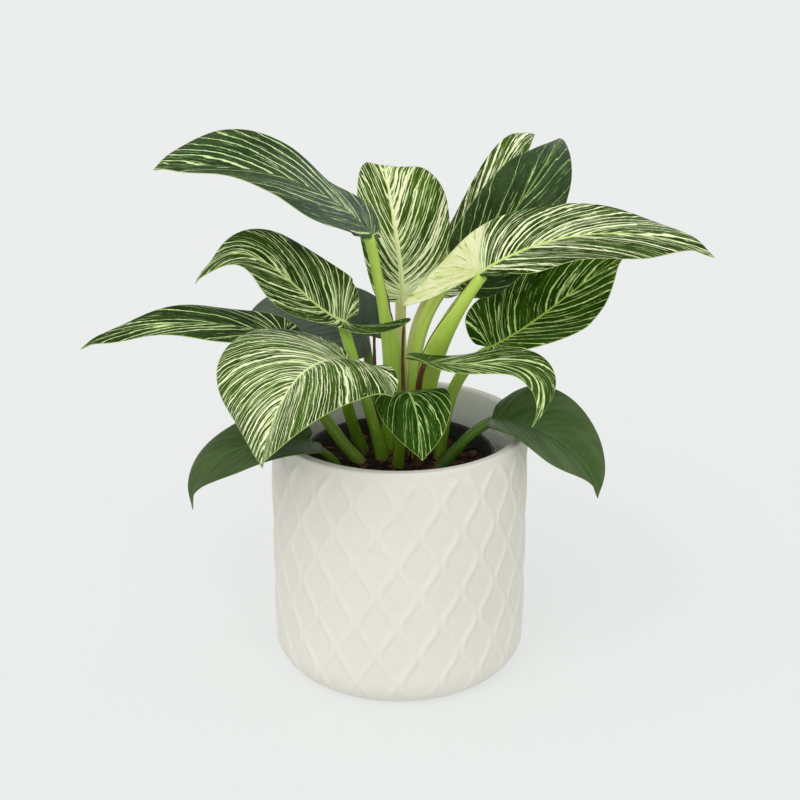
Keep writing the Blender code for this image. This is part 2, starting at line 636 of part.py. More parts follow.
def blade_place(leaf, length, vein, across):
    """Point of the blade's middle surface."""
    half = half_of(leaf, across)
    along, out = flat_place(half, length, vein, across)
    share = along / length
    centre, slope = through_points(leaf["path"], max(share, 0.0))
    if share < 0.0:
        centre = centre + slope * share
    tangent = unit(slope)
    up = unit(between([unit(f) for f in leaf["facing"]], share))
    side = unit(np.cross(tangent, up))
    up = np.cross(side, tangent)
    angle = math.radians(float(between(half["fold"], share)) + half["curl"] * (1.0 - out / half["width"]))
    way = 1.0 if across >= 0.0 else -1.0
    lift = half["lift"] * (min(share, 0.0) / max(half["lobe"], 0.01)) ** 2
    return centre + side * way * out * math.cos(angle) + up * (out * math.sin(angle) + lift)


def path_length(path):
    places = np.array([through_points(path, i / 40.0)[0] for i in range(41)])
    return float(np.linalg.norm(np.diff(places, axis=0), axis=1).sum())


def build_blade(name, leaf):
    """Thin blade on a grid of veins, split alike on both faces, with a keel under the midrib."""
    length = path_length(leaf["path"])
    columns = 2 * ACROSS + 1
    grid = []
    for row in range(VEINS):
        vein = (row / VEINS) ** 0.9
        grid.append([blade_place(leaf, length, vein, (c - ACROSS) / ACROSS) for c in range(columns)])
    tip = blade_place(leaf, length, 1.0, 0.0)
    grid = np.array(grid)
    normals = np.zeros_like(grid)
    for row in range(VEINS):
        ahead = grid[row + 1] if row + 1 < VEINS else np.repeat([tip], columns, axis=0)
        behind = grid[row - 1] if row > 0 else grid[row]
        for c in range(columns):
            right = grid[row][min(c + 1, columns - 1)] - grid[row][max(c - 1, 0)]
            normals[row, c] = unit(np.cross(right, ahead[c] - behind[c]))
    corners = []
    for sign in (1.0, -1.0):
        for row in range(VEINS):
            for c in range(columns):
                thick = 0.5 * BLADE_THICK
                if sign < 0.0 and c == ACROSS:
                    thick += KEEL * (1.0 - row / VEINS)
                corners.append(grid[row, c] + normals[row, c] * sign * thick)
    tip_up = unit(normals[-1].mean(axis=0))
    corners.append(tip + tip_up * 0.5 * BLADE_THICK)
    corners.append(tip - tip_up * 0.5 * BLADE_THICK)
    under = VEINS * columns
    top_tip = 2 * under
    low_tip = top_tip + 1
    faces = []
    for row in range(VEINS - 1):
        for c in range(columns - 1):
            a = row * columns + c
            b = a + 1
            d = a + columns
            e = d + 1
            pair = ((a, b, e), (a, e, d)) if c < ACROSS else ((a, b, d), (b, e, d))
            for face in pair:
                faces.append(face)
                faces.append(tuple(under + i for i in reversed(face)))
    last = (VEINS - 1) * columns
    for c in range(columns - 1):
        faces.append((last + c, last + c + 1, top_tip))
        faces.append((under + last + c + 1, under + last + c, low_tip))
        faces.append((c, under + c, under + c + 1))
        faces.append((c, under + c + 1, c + 1))
    for row in range(VEINS - 1):
        for c in (0, columns - 1):
            a = row * columns + c
            d = a + columns
            quad = (a, d, under + d, under + a)
            if c > 0:
                quad = tuple(reversed(quad))
            faces.append((quad[0], quad[1], quad[2]))
            faces.append((quad[0], quad[2], quad[3]))
    for c in (0, columns - 1):
        a = last + c
        triangle_a = (a, top_tip, low_tip)
        triangle_b = (a, low_tip, under + a)
        faces.append(triangle_a if c == 0 else tuple(reversed(triangle_a)))
        faces.append(triangle_b if c == 0 else tuple(reversed(triangle_b)))
    slot = "dark_blade" if name in DARK_BLADES else "striped_blade"
    return add_solid(name + "_blade", [tuple(c) for c in corners], faces, slot, 70.0)


def main():
    clear_scene()
    build_cover_pot()
    build_grow_pot()
    feet = [build_crown()]
    for name, leaf in LEAVES.items():
        blade = build_blade(name, leaf)
        feet.append(build_stalk(name, leaf, blade))
    for name, sheath in SHEATHS.items():
        feet.append(build_sheath(name, sheath))
    build_soil(feet)


main()
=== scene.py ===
"""Potted philodendron: the looks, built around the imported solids.

Tables are in millimetres and meshes in metres, +Z up. The front is -Y.
"""
import math
import random
from itertools import product

import bpy
import numpy as np
from mathutils import Euler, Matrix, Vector, noise


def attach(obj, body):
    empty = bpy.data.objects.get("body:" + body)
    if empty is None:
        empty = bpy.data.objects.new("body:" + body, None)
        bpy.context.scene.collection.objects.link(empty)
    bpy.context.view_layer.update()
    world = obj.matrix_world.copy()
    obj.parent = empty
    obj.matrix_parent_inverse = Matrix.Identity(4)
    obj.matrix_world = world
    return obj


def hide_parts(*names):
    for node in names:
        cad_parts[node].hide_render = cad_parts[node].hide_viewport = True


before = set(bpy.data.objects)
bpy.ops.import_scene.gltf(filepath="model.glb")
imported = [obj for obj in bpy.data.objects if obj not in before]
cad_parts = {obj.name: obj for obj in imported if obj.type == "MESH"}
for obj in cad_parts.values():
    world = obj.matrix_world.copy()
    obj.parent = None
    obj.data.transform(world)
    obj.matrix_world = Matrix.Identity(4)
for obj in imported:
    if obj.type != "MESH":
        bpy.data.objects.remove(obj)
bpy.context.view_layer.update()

MM = 0.001

# Pots and soil, as in the solids
POT_RADIUS = 82.5
POT_HEIGHT = 165.0
POT_WALL = 6.0
POT_FLOOR = 8.0
FOOT_REACH = 15.5
FOOT_RISE = 21.0
CELLS_ROUND = 19
CELL_HEIGHT = 41.25
RIB_RISE = 1.1
RIB_SWING = 0.36
PINCH_ANGLE = -29.1
PINCH_HEIGHT = 122.0
RIB_BOTTOM = 5.0
RIB_TOP = 161.0
GROW_RIM_RADIUS = 62.0
GROW_TOP = 146.0
GROW_BODY_TOP_RADIUS = 59.5
GROW_FOOT_RADIUS = 47.0
GROW_WALL = 1.6
GROW_FLOOR = 3.0
GROW_LIP = 9.0
SOIL_TOP = 140.0
SOIL_FALL = 4.0
SOIL_ROUGH = 1.6
CROWN = (2.0, 6.0)
CROWN_RADIUS = 5.5
CROWN_RISE = 7.0
FOOT_DEPTH = 13.0
STEEPER = (0.35, 0.35, 1.0)
GAP = 0.3

# Finer than the solids: reach of a rib to each side, columns of a cell of the net, and how many bark chips
# and crumbs lie on the soil
RIB_REACH = 2.1
CELL_COLUMNS = 24
CHIPS = 900

# Leaves, as in the solids

# Half outlines of blades from the stalk round to the tip: along the midrib in lengths (behind the stalk
# in lobe depths), and out from the midrib in widths.
LOBED_ALONG = (-0.35, -0.85, -1.0, -0.62, 0.04, 0.20, 0.36, 0.52, 0.68, 0.82, 0.93, 1.0)
HEART = list(zip(LOBED_ALONG, (0.10, 0.22, 0.45, 0.74, 0.93, 1.0, 0.99, 0.88, 0.67, 0.40, 0.14, 0.0)))
OVAL = [(0.0, 0.06), (0.0, 0.18), (0.01, 0.34), (0.03, 0.58), (0.10, 0.84), (0.21, 0.98),
        (0.36, 1.0), (0.52, 0.90), (0.68, 0.69), (0.82, 0.41), (0.93, 0.14), (1.0, 0.0)]
LOBED = list(zip(LOBED_ALONG, (0.05, 0.10, 0.22, 0.46, 0.80, 0.98, 1.0, 0.91, 0.72, 0.45, 0.17, 0.0)))
LATE = [(-0.35, 0.10), (-0.85, 0.22), (-1.0, 0.38), (-0.62, 0.56), (0.04, 0.68), (0.18, 0.74),
        (0.34, 0.86), (0.50, 0.98), (0.66, 1.0), (0.80, 0.80), (0.92, 0.38), (1.0, 0.0)]
BROAD = list(zip(LOBED_ALONG, (0.10, 0.22, 0.42, 0.68, 0.88, 0.98, 1.0, 0.93, 0.76, 0.50, 0.20, 0.0)))
SLIM = [(0.0, 0.04), (0.01, 0.10), (0.03, 0.20), (0.07, 0.38), (0.14, 0.62), (0.25, 0.86),
        (0.38, 0.98), (0.53, 0.97), (0.69, 0.76), (0.82, 0.46), (0.93, 0.16), (1.0, 0.0)]
SPUR = [(-0.35, 0.05), (-0.85, 0.11), (-1.0, 0.20), (-0.62, 0.36), (0.04, 0.40), (0.16, 0.56),
        (0.30, 0.84), (0.46, 1.0), (0.64, 0.88), (0.80, 0.54), (0.93, 0.17), (1.0, 0.0)]
# Where the vein that ends at each of those points leaves the midrib, in lengths: they sweep forward.
VEIN_STARTS = [0.0, 0.003, 0.006, 0.012, 0.03, 0.065, 0.12, 0.21, 0.33, 0.48, 0.68, 1.0]
# How that sweep is bent: a power on those starts, and how far along and out the middle of a vein lies.
VEIN_SWEEP = (1.1, 0.30, 0.62)

# One row for each leaf.
# path: four points of the midrib, from the stalk to the tip; width: half width of the blade
# facing: where the upper face looks, at even steps from the base to the tip
# fold: degrees by which the halves rise from flat, at even steps from the base to the tip
# lobe: depth of the lobes behind the stalk, in lengths; lift: how far the lobes turn up
# curl: degrees by which a half bends down from the midrib to its margin
# A name that ends in _left is for the left half alone, seen from the stalk with the upper face up.
# stalk: three points from the soil up, and its radius at the soil and at the blade
# wing: how far the stalk's open sheath stands out along X in mm, and the shares of the stalk's length where
# it begins, is full, starts to narrow and ends
LEAVES = {
    "leaf_01": dict(
        path=[(-17, 0, 290), (-45, -9, 318), (-98, -15, 337), (-148, -20, 337)], width=34, width_left=33,
        facing=[(0.7, -0.15, 0.7), (0.1, -0.2, 1.0), (0.1, -0.25, 1.0), (0.1, -0.4, 1.0), (0.1, -0.3, 1.0)],
        fold=(8, 0, 10, 10, 8), fold_left=(-10, -10, 8, 20, 18), lobe=0.06, lobe_left=0.0,
        outline=LATE, outline_left=SLIM,
        stalk=[(-8, 11, 139), (-6, 11, 191), (-10, 9, 240)], radius=(5.2, 3.6),
        wing=(5.5, 0.15, 0.35, 0.42, 0.66)),
    "leaf_02": dict(
        path=[(1, 42, 235), (-3, 46, 283), (-9, 66, 315), (-7, 100, 300)], width=37, width_left=26,
        facing=[(0.35, -0.9, 0.1), (0.35, -0.9, 0.2), (0.25, -0.8, 0.4), (0.1, -0.35, 1.0), (0.0, 0.2, 1.0)],
        fold=(16, 14, 10, 0, -8), lobe=0.0, outline=SLIM, outline_left=OVAL,
        stalk=[(2, 26, 138), (2, 32, 177), (1, 38, 207)], radius=(4.0, 3.4)),
    "leaf_03": dict(
        path=[(23, 60, 236), (51, 64, 283), (79, 82, 334), (90, 112, 326)], width=20, width_left=16,
        facing=[(-0.4, -0.9, 0.2), (-0.5, -0.8, 0.4), (0.0, 0.0, 1.0)],
        fold=(12, 5, 0), lobe=0.0, outline=OVAL,
        stalk=[(12, 31, 138), (8, 41, 173), (9, 53, 202)], radius=(4.0, 3.2)),
    "leaf_04": dict(
        path=[(33, 20, 256), (67, 25, 291), (96, 45, 330), (106, 80, 334)], width=29, width_left=26,
        facing=[(0.2, -1.0, 0.0), (0.1, -0.9, 0.2), (0.15, -0.85, 0.4), (0.4, -0.3, 0.9), (0.4, 0.0, 1.0)],
        fold=(30, 18, 6, -6, -10), fold_left=(30, 14, 0, -24, -30), lobe=0.0, outline=OVAL,
        stalk=[(10, 16, 139), (9, 16, 181), (13, 17, 217)], radius=(4.6, 3.6)),
    "leaf_05": dict(
        path=[(49, -22, 272), (91, -27, 294), (135, -30, 300), (191, -33, 286)], width=34,
        facing=[(-0.5, -0.3, 0.8), (0.0, -0.25, 1.0), (0.2, -0.3, 1.0)],
        fold=(10, 2, 2), fold_left=(28, 2, 2), lobe=0.02, lobe_left=0.34, lift_left=8,
        outline=SLIM, outline_left=LOBED,
        stalk=[(13, 2, 139), (19, -4, 189), (30, -13, 230)], radius=(5.4, 3.8),
        wing=(-8.4, 0.2, 0.55, 0.6, 0.98)),
    "leaf_06": dict(
        path=[(58, 14, 211), (83, 16, 226), (112, 28, 245), (147, 46, 264)], width=35,
        facing=[(-0.5, -0.35, 0.8), (-0.4, -0.7, 0.8), (-0.3, -0.7, 0.7)],
        fold=(36, 8, 8), lobe=0.08, outline=HEART,
        stalk=[(26, 5, 139), (30, 6, 168), (40, 10, 194)], radius=(4.8, 3.6)),
    "leaf_07": dict(
        path=[(-34, -6, 236), (-61, -13, 258), (-96, -21, 285), (-125, -28, 268)], width=30, width_left=24,
        facing=[(0.1, -0.5, 0.8), (0.0, -0.45, 0.9), (-0.5, -0.3, 0.8)],
        fold=(24, 7, -8), fold_left=(10, 2, 4),
        lobe=0.08, lobe_left=0.35, lift_left=22, outline=HEART, outline_left=SPUR,
        stalk=[(-11, -1, 139), (-18, -1, 170), (-28, -3, 205)], radius=(4.4, 3.4)),
    "leaf_08": dict(
        path=[(-29, -46, 221), (-59, -76, 225), (-73, -96, 207), (-81, -102, 177)], width=57, width_left=58,
        facing=[(0.0, -0.1, 1.0), (-0.4, -0.6, 0.7), (-0.8, -0.7, 0.2)],
        fold=(2, 4, -2), fold_left=(0, 2, 8), curl_left=34, lobe=0.05, lobe_left=0.07, lift_left=4,
        outline=BROAD, outline_left=HEART,
        stalk=[(-24, 13, 138), (-31, -2, 168), (-34, -24, 194)], radius=(4.4, 3.4)),
    "leaf_09": dict(
        path=[(15, -38, 221), (47, -42, 221), (82, -50, 217), (81, -60, 186)], width=17, width_left=25,
        facing=[(0.0, 0.25, 1.0), (0.2, -0.15, 1.0), (0.5, -0.8, 0.3)], fold=(2, 0, 0), lobe=0.17,
        stalk=[(12, -10, 139), (12, -15, 168), (12, -24, 198)], radius=(2.8, 1.8), outline=HEART),
    "leaf_10": dict(
        path=[(-74, 20, 217), (-120, 14, 228), (-166, 8, 227), (-204, 2, 215)], width=24,
        facing=[(0.0, -0.15, 1.0), (0.0, -0.15, 1.0), (-0.3, -0.2, 1.0)], fold=(4, 3, 3), lobe=0.1,
        stalk=[(-25, -3, 138), (-45, 2, 163), (-64, 13, 193)], radius=(4.8, 3.4), outline=HEART),
    "leaf_11": dict(
        path=[(-22, 60, 204), (-47, 70, 217), (-74, 79, 219), (-109, 86, 204)], width=30,
        facing=[(0.0, -0.4, 1.0), (-0.1, -0.4, 1.0), (-0.3, -0.2, 1.0)], fold=(6, 0, 0), lobe=0.1,
        stalk=[(-12, 29, 138), (-16, 38, 163), (-20, 51, 185)], radius=(4.0, 3.0), outline=HEART),
    "leaf_12": dict(
        path=[(-56, -45, 171), (-81, -52, 173), (-115, -56, 162), (-129, -58, 130)], width=26,
        facing=[(0.0, -0.2, 1.0), (-0.1, -0.3, 1.0), (-0.8, -0.3, 0.5)], fold=(16, 3, 3), lobe=0.04,
        stalk=[(-37, -29, 138), (-40, -31, 149), (-47, -37, 160)], radius=(3.2, 2.4), outline=HEART),
    "leaf_13": dict(
        path=[(5, -36, 200), (8, -49, 200), (12, -63, 188), (14, -72, 169)], width=23,
        facing=[(0.0, 0.0, 1.0), (0.0, -0.6, 0.8), (0.0, -0.9, 0.3)], fold=(0, 2, 2), lobe=0.1,
        stalk=[(-1, -12, 139), (1, -20, 165), (3, -28, 185)], radius=(3.6, 2.8), outline=HEART),
    "leaf_14": dict(
        path=[(59, -10, 172), (84, -17, 169), (112, -24, 153), (127, -30, 125)], width=34,
        facing=[(0.0, -0.1, 1.0), (0.2, -0.4, 1.0), (0.7, -0.5, 0.5)], fold=(16, 16, 16), lobe=0.0,
        stalk=[(26, -13, 139), (34, -13, 149), (45, -12, 161)], radius=(4.4, 3.4), outline=OVAL),
}
CURL = 4.0

SHEATHS = {
    "dried_sheath_01": dict(
        path=[(4, -3, 139), (3, 0, 175), (2, 5, 205), (3, 6, 232)], width=(4.0, 1.6)),
    "dried_sheath_02": dict(
        path=[(-15, 21, 138), (-15, 21, 172), (-16, 20, 200), (-16, 19, 226)], width=(3.6, 1.8)),
    "dried_sheath_03": dict(
        path=[(-3, 18, 138), (-3, 17.5, 180), (-5, 16.5, 225), (-9, 15, 252)], width=(3.2, 1.4)),
}
TAN_STALKS = ("leaf_02", "leaf_03")
DARK_BLADES = ("leaf_11", "leaf_12", "leaf_14")

# Fineness: rows along a blade, columns on each side of its midrib, and rings and sides of a stalk
ROWS = 112
SIDE_COLUMNS = 24
STALK_RINGS = 44
STALK_SIDES = 28
# Blades: how thick they are, the pleats along their veins, and how unlike the markings of their halves are
BLADE_THICK = 0.75
PLEAT_RISE = 0.16
PLEAT_WIDTH = 5.2
HALVES_APART = 17.0

# Markings of each blade. green: dark and light ground; cream: colour of the streaks; cover: share of the blade
# that brush-like streaks cover; gap: mm between the clear lines along the side veins; wide: narrowest and
# widest in mm; lines: share of those lines that show; fine: share of the broken lines between them
# rib: colour of the midrib; rib_wide: its width in mm at the base; gloss: how much light the wax reflects
# sweep: how far the side veins run forward; patch: half and reach of an all but white patch
# base: how much paler the base is; bare: half, and the shares of the length between which its lines fade in
# painted_sheen: shares of the length between which a painted grey sheen sets in, and its strength
LOOKS = {
    "leaf_01": dict(
        green=((0.011, 0.037, 0.003), (0.033, 0.068, 0.015)), cream=(0.60, 0.76, 0.34), cover=0.05, gap=5.6,
        wide=(0.60, 1.25), lines=0.85, fine=0.30, rib=(0.16, 0.22, 0.08), rib_wide=1.0, gloss=0.12,
        sweep=(1.5, 0.34, 0.60), painted_sheen=(0.62, 0.15, 0.38)),
    "leaf_02": dict(
        green=((0.029, 0.070, 0.004), (0.068, 0.140, 0.010)), cream=(0.86, 0.93, 0.52), cover=0.29, gap=3.4,
        wide=(0.52, 1.30), lines=0.80, fine=0.70, rib=(0.84, 0.90, 0.46), rib_wide=3.8, gloss=0.02,
        patch=("right", 0.20), base=0.12),
    "leaf_03": dict(
        green=((0.024, 0.056, 0.003), (0.064, 0.121, 0.007)), cream=(0.94, 0.97, 0.62), cover=0.20, gap=3.2,
        wide=(0.55, 1.30), lines=0.85, fine=0.75, rib=(0.74, 0.84, 0.38), rib_wide=2.2, gloss=0.03),
    "leaf_04": dict(
        green=((0.016, 0.037, 0.005), (0.030, 0.061, 0.012)), cream=(0.38, 0.54, 0.19), cover=0.02, gap=5.2,
        wide=(0.35, 0.70), lines=0.70, fine=0.15, rib=(0.18, 0.30, 0.06), rib_wide=1.4, gloss=0.12,
        sweep=(1.4, 0.34, 0.60), painted_sheen=(0.45, 0.90, 0.12)),
    "leaf_05": dict(
        green=((0.017, 0.040, 0.003), (0.041, 0.085, 0.009)), cream=(0.80, 0.88, 0.50), cover=0.14, gap=3.4,
        wide=(0.45, 1.15), lines=0.80, fine=0.70, rib=(0.58, 0.72, 0.24), rib_wide=2.6, gloss=0.03,
        sweep=(1.25, 0.32, 0.62), patch=("left", 0.40)),
    "leaf_06": dict(
        green=((0.015, 0.051, 0.002), (0.035, 0.090, 0.004)), cream=(0.66, 0.84, 0.30), cover=0.04, gap=5.0,
        wide=(0.50, 1.10), lines=0.95, fine=0.42, rib=(0.44, 0.64, 0.10), rib_wide=2.2, gloss=0.02,
        sweep=(1.05, 0.24, 0.66)),
    "leaf_07": dict(
        green=((0.017, 0.042, 0.003), (0.042, 0.086, 0.010)), cream=(0.74, 0.87, 0.42), cover=0.11, gap=3.8,
        wide=(0.48, 1.05), lines=0.85, fine=0.65, rib=(0.56, 0.68, 0.24), rib_wide=2.0, gloss=0.05,
        sweep=(1.2, 0.30, 0.62), bare=("left", -0.06, 0.0)),
    "leaf_08": dict(
        green=((0.025, 0.055, 0.004), (0.057, 0.114, 0.013)), cream=(0.80, 0.88, 0.50), cover=0.24, gap=3.1,
        wide=(0.42, 1.00), lines=0.85, fine=0.80, rib=(0.74, 0.83, 0.42), rib_wide=3.6, gloss=0.03,
        sweep=(1.2, 0.28, 0.66), base=0.0),
    "leaf_09": dict(
        green=((0.020, 0.052, 0.003), (0.049, 0.100, 0.013)), cream=(0.62, 0.76, 0.32), cover=0.15, gap=4.2,
        wide=(0.55, 1.15), lines=0.80, fine=0.50, rib=(0.44, 0.58, 0.20), rib_wide=1.4, gloss=0.05,
        sweep=(1.3, 0.32, 0.62), bare=("both", -0.02, 0.22)),
    "leaf_10": dict(
        green=((0.011, 0.031, 0.002), (0.027, 0.065, 0.009)), cream=(0.66, 0.82, 0.32), cover=0.05, gap=5.2,
        wide=(0.65, 1.40), lines=0.85, fine=0.35, rib=(0.24, 0.34, 0.10), rib_wide=1.2, gloss=0.05,
        sweep=(1.4, 0.36, 0.60)),
    "leaf_11": dict(
        green=((0.030, 0.052, 0.026), (0.055, 0.085, 0.045)), cover=0.0, rib=(0.06, 0.11, 0.03), rib_wide=1.8,
        gloss=0.50),
    "leaf_12": dict(
        green=((0.033, 0.070, 0.011), (0.054, 0.094, 0.021)), cover=0.0, rib=(0.08, 0.16, 0.02), rib_wide=1.6,
        gloss=0.18),
    "leaf_13": dict(
        green=((0.012, 0.042, 0.002), (0.032, 0.084, 0.005)), cream=(0.50, 0.70, 0.24), cover=0.03, gap=3.5,
        wide=(0.35, 0.65), lines=0.90, fine=0.40, rib=(0.44, 0.62, 0.20), rib_wide=1.2, gloss=0.03,
        sweep=(2.2, 0.12, 0.80)),
    "leaf_14": dict(
        green=((0.037, 0.088, 0.011), (0.066, 0.120, 0.030)), cover=0.0, rib=(0.07, 0.15, 0.02), rib_wide=1.6,
        gloss=0.32),
}
# Slow waves of each blade's margin: height in mm, how many along it, where they start
WAVES = {
    "leaf_01": (1.6, 3.2, 0.3), "leaf_02": (1.2, 2.6, 1.0), "leaf_03": (1.0, 2.4, 2.0), "leaf_04": (1.0, 2.2, 0.0),
    "leaf_05": (2.2, 3.4, 0.8), "leaf_06": (1.6, 3.0, 1.7), "leaf_07": (1.8, 3.0, 0.4), "leaf_08": (1.6, 2.6, 2.4),
    "leaf_09": (1.4, 3.0, 1.1), "leaf_10": (1.4, 3.4, 0.2), "leaf_11": (1.6, 2.4, 0.9), "leaf_12": (1.4, 2.4, 0.5),
    "leaf_13": (0.8, 2.2, 1.4), "leaf_14": (1.6, 2.6, 0.1),
}
# Stalks: colour at the foot and at the blade, and the stretch of an open sheath with a dry, red-brown edge
STALK_TINTS = {
    "leaf_01": ((0.19, 0.38, 0.012), (0.47, 0.66, 0.100), (0.58, 0.90)),
    "leaf_02": ((0.26, 0.38, 0.032), (0.58, 0.57, 0.210), None),
    "leaf_03": ((0.28, 0.38, 0.040), (0.62, 0.62, 0.220), None),
    "leaf_04": ((0.19, 0.38, 0.014), (0.52, 0.67, 0.115), None),
    "leaf_05": ((0.19, 0.36, 0.013), (0.48, 0.66, 0.100), (0.42, 1.00)),
    "leaf_06": ((0.13, 0.26, 0.010), (0.32, 0.50, 0.040), None),
    "leaf_07": ((0.15, 0.29, 0.012), (0.34, 0.54, 0.060), None),
    "leaf_08": ((0.14, 0.26, 0.012), (0.22, 0.40, 0.020), None),
    "leaf_09": ((0.10, 0.045, 0.014), (0.13, 0.06, 0.018), None),
    "leaf_10": ((0.17, 0.29, 0.018), (0.22, 0.38, 0.020), None),
    "leaf_11": ((0.12, 0.19, 0.020), (0.14, 0.22, 0.040), None),
    "leaf_12": ((0.07, 0.15, 0.010), (0.11, 0.22, 0.015), None),
    "leaf_13": ((0.14, 0.27, 0.012), (0.24, 0.42, 0.025), None),
    "leaf_14": ((0.05, 0.12, 0.006), (0.10, 0.22, 0.012), None),
}

# Stage: strength, width in degrees and way of each lamp; strength of the sky; reach in metres and glow of the
# floor; and the photo's view: degrees above level, and metres away from a place on the object
LAMPS = (("key", 1.02, 60.0, (0.12, 0.78, -0.72)), ("side", 0.34, 50.0, (0.60, 0.34, -0.90)))
SKY_STRENGTH = 0.78
FLOOR_REACH = 12.0
FLOOR_GLOW = 0.588
VIEW_RISE = 21.07
VIEW_AWAY = 1.1
VIEW_TARGET = (0.0004, 0.0, 0.181)
LENS = 76.72
LAMP_AT = (-0.5, -1.0, 1.5)


# Material graphs

def written_as(operation):
    """What an operator between two values does: it adds the node of that operation."""
    return lambda first, second: first.graph.do(operation, first, second)


class Value:
    """What a socket gives all over the surface; a sum written with it becomes nodes."""

    def __init__(self, graph, socket):
        self.graph = graph
        self.socket = socket

    __add__ = written_as("ADD")
    __sub__ = written_as("SUBTRACT")
    __mul__ = written_as("MULTIPLY")
    __truediv__ = written_as("DIVIDE")
    __gt__ = written_as("GREATER_THAN")
    __lt__ = written_as("LESS_THAN")

    def __rsub__(self, other):
        return self.graph.do("SUBTRACT", other, self)

    def __abs__(self):
        return self.graph.do("ABSOLUTE", self)


class Graph:
    """Node graph of one material, with a colour that coats are laid over."""

    def __init__(self, name):
        self.material = bpy.data.materials.new(name)
        self.material.use_nodes = True
        self.nodes = self.material.node_tree.nodes
        self.links = self.material.node_tree.links
        self.shader = self.nodes["Principled BSDF"]
        self.place = None
        self.colour = None

    def put(self, socket, value):
        if isinstance(value, Value):
            self.links.new(value.socket, socket)
        else:
            socket.default_value = (*value, 1.0) if socket.type == "RGBA" else value

    def add(self, kind, values, output=0, **settings):
        """A node with its settings and the values of its sockets."""
        node = self.nodes.new("ShaderNode" + kind)
        for key, value in settings.items():
            setattr(node, key, value)
        for key, value in values.items():
            self.put(node.inputs[key], value)
        return Value(self, node.outputs[output])

    def attr(self, name):
        return self.add("Attribute", {}, "Fac", attribute_name=name)

    def spot(self):
        """Place on the object, in millimetres."""
        if self.place is None:
            here = self.add("TexCoord", {}, "Object")
            self.place = self.add("VectorMath", {0: here, "Scale": 1.0 / MM}, operation="SCALE")
        return self.place

    def do(self, operation, first, second=0.0):
        return self.add("Math", {0: first, 1: second}, operation=operation)

    def xyz(self, x, y, z):
        return self.add("CombineXYZ", {0: x, 1: y, 2: z})

    def noise(self, vector, scale=1.0, detail=1.0, rough=0.5):
        values = {"Vector": vector, "Scale": scale, "Detail": detail, "Roughness": rough}
        return self.add("TexNoise", values, "Fac")

    def chance(self, vector):
        """Three random numbers that stay the same for each value of a vector."""
        colour = self.add("TexWhiteNoise", {"Vector": vector}, "Color")
        return [self.add("SeparateColor", {0: colour}, part) for part in range(3)]

    def cells(self, vector, scale=1.0):
        """Distance from the middle of the nearest of scattered cells."""
        return self.add("TexVoronoi", {"Vector": vector, "Scale": scale}, "Distance")

    def step(self, value, low, high):
        """0 at low, 1 at high, eased between; low may be the larger."""
        values = {"Value": value, "From Min": low, "From Max": high}
        return self.add("MapRange", values, "Result", interpolation_type="SMOOTHSTEP")

    def spread(self, value, low, high):
        """0 to 1 turned into low to high."""
        return self.add("MapRange", {"Value": value, "To Min": low, "To Max": high}, "Result")

    def mix(self, share, first, second):
        return self.add("Mix", {0: share, 6: first, 7: second}, 2, data_type="RGBA")

    def coat(self, share, colour):
        self.colour = self.mix(share, self.colour, colour)

    def finish(self, rough, gloss, height=None, distance=0.0, strength=0.0):
        """Set the shader. The height makes its fine relief, distance metres deep."""
        self.put(self.shader.inputs["Base Color"], self.colour)
        self.put(self.shader.inputs["Roughness"], rough)
        self.put(self.shader.inputs["Specular IOR Level"], gloss)
        if height is not None:
            relief = self.add("Bump", {"Strength": strength, "Distance": distance, "Height": height})
            self.put(self.shader.inputs["Normal"], relief)
        return self.material


def scaled(colour, by):
    return tuple(by * c for c in colour)


# Shared shapes

def unit(vector):
    vector = np.asarray(vector, float)
    return vector / np.linalg.norm(vector, axis=-1, keepdims=True)


def eased(value, low, high):
    share = np.clip((np.asarray(value, float) - low) / (high - low), 0.0, 1.0)
    return share * share * (3.0 - 2.0 * share)


def turns(count):
    """Even steps round a full turn, in radians."""
    return 2.0 * math.pi * np.arange(count) / count


def rough_at(x, y, z):
    return noise.noise(Vector((x, y, z)))


def put_in(name, data):
    """New object in the scene."""
    item = bpy.data.objects.new(name, data)
    bpy.context.scene.collection.objects.link(item)
    return item


def add_piece(name, node, corners, faces, materials, marks=None, face_slots=None, uvs=None):
    """Smooth mesh from corners in mm, in place of a node; marks are numbers kept for each corner."""
    mesh = bpy.data.meshes.new(name)
    mesh.from_pydata([tuple(corner) for corner in np.asarray(corners, float) * MM], [], faces)
    for material in materials:
        mesh.materials.append(material)
    if face_slots is not None:
        mesh.polygons.foreach_set("material_index", face_slots)
    for key, values in (marks or {}).items():
        layer = mesh.attributes.new(key, "FLOAT", "POINT")
        layer.data.foreach_set("value", np.asarray(values, np.float32))
    if uvs is not None:
        layer = mesh.uv_layers.new(name="OFBake")
        layer.uv.foreach_set("vector", np.asarray(uvs, np.float32).ravel())
    mesh.shade_smooth()
    mesh.validate()
    mesh.update()
    piece = put_in(name, mesh)
    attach(piece, "root")
    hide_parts(node)


def tube_faces(rings, sides):
    """Faces between rings of corners, with both ends closed."""
    faces = []
    for row in range(rings - 1):
        for i in range(sides):
            a, b = row * sides + i, row * sides + (i + 1) % sides
            faces.append((a, b, b + sides, a + sides))
    last = (rings - 1) * sides
    faces.append(tuple(reversed(range(sides))))
    faces.append(tuple(range(last, last + sides)))
    return faces


def cubic(points):
    """Smooth curve through four points: a call gives places and slopes at shares of it."""
    points = np.asarray(points, float)
    steps = np.concatenate([[0.0], np.cumsum(np.linalg.norm(np.diff(points, axis=0), axis=1))])
    steps /= steps[-1]
    fits = [np.polyfit(steps, points[:, axis], 3) for axis in range(3)]

    def at(share):
        share = np.asarray(share, float)
        place = np.stack([np.polyval(fit, share) for fit in fits], axis=-1)
        slope = np.stack([np.polyval(np.polyder(fit), share) for fit in fits], axis=-1)
        return place, slope
    return at


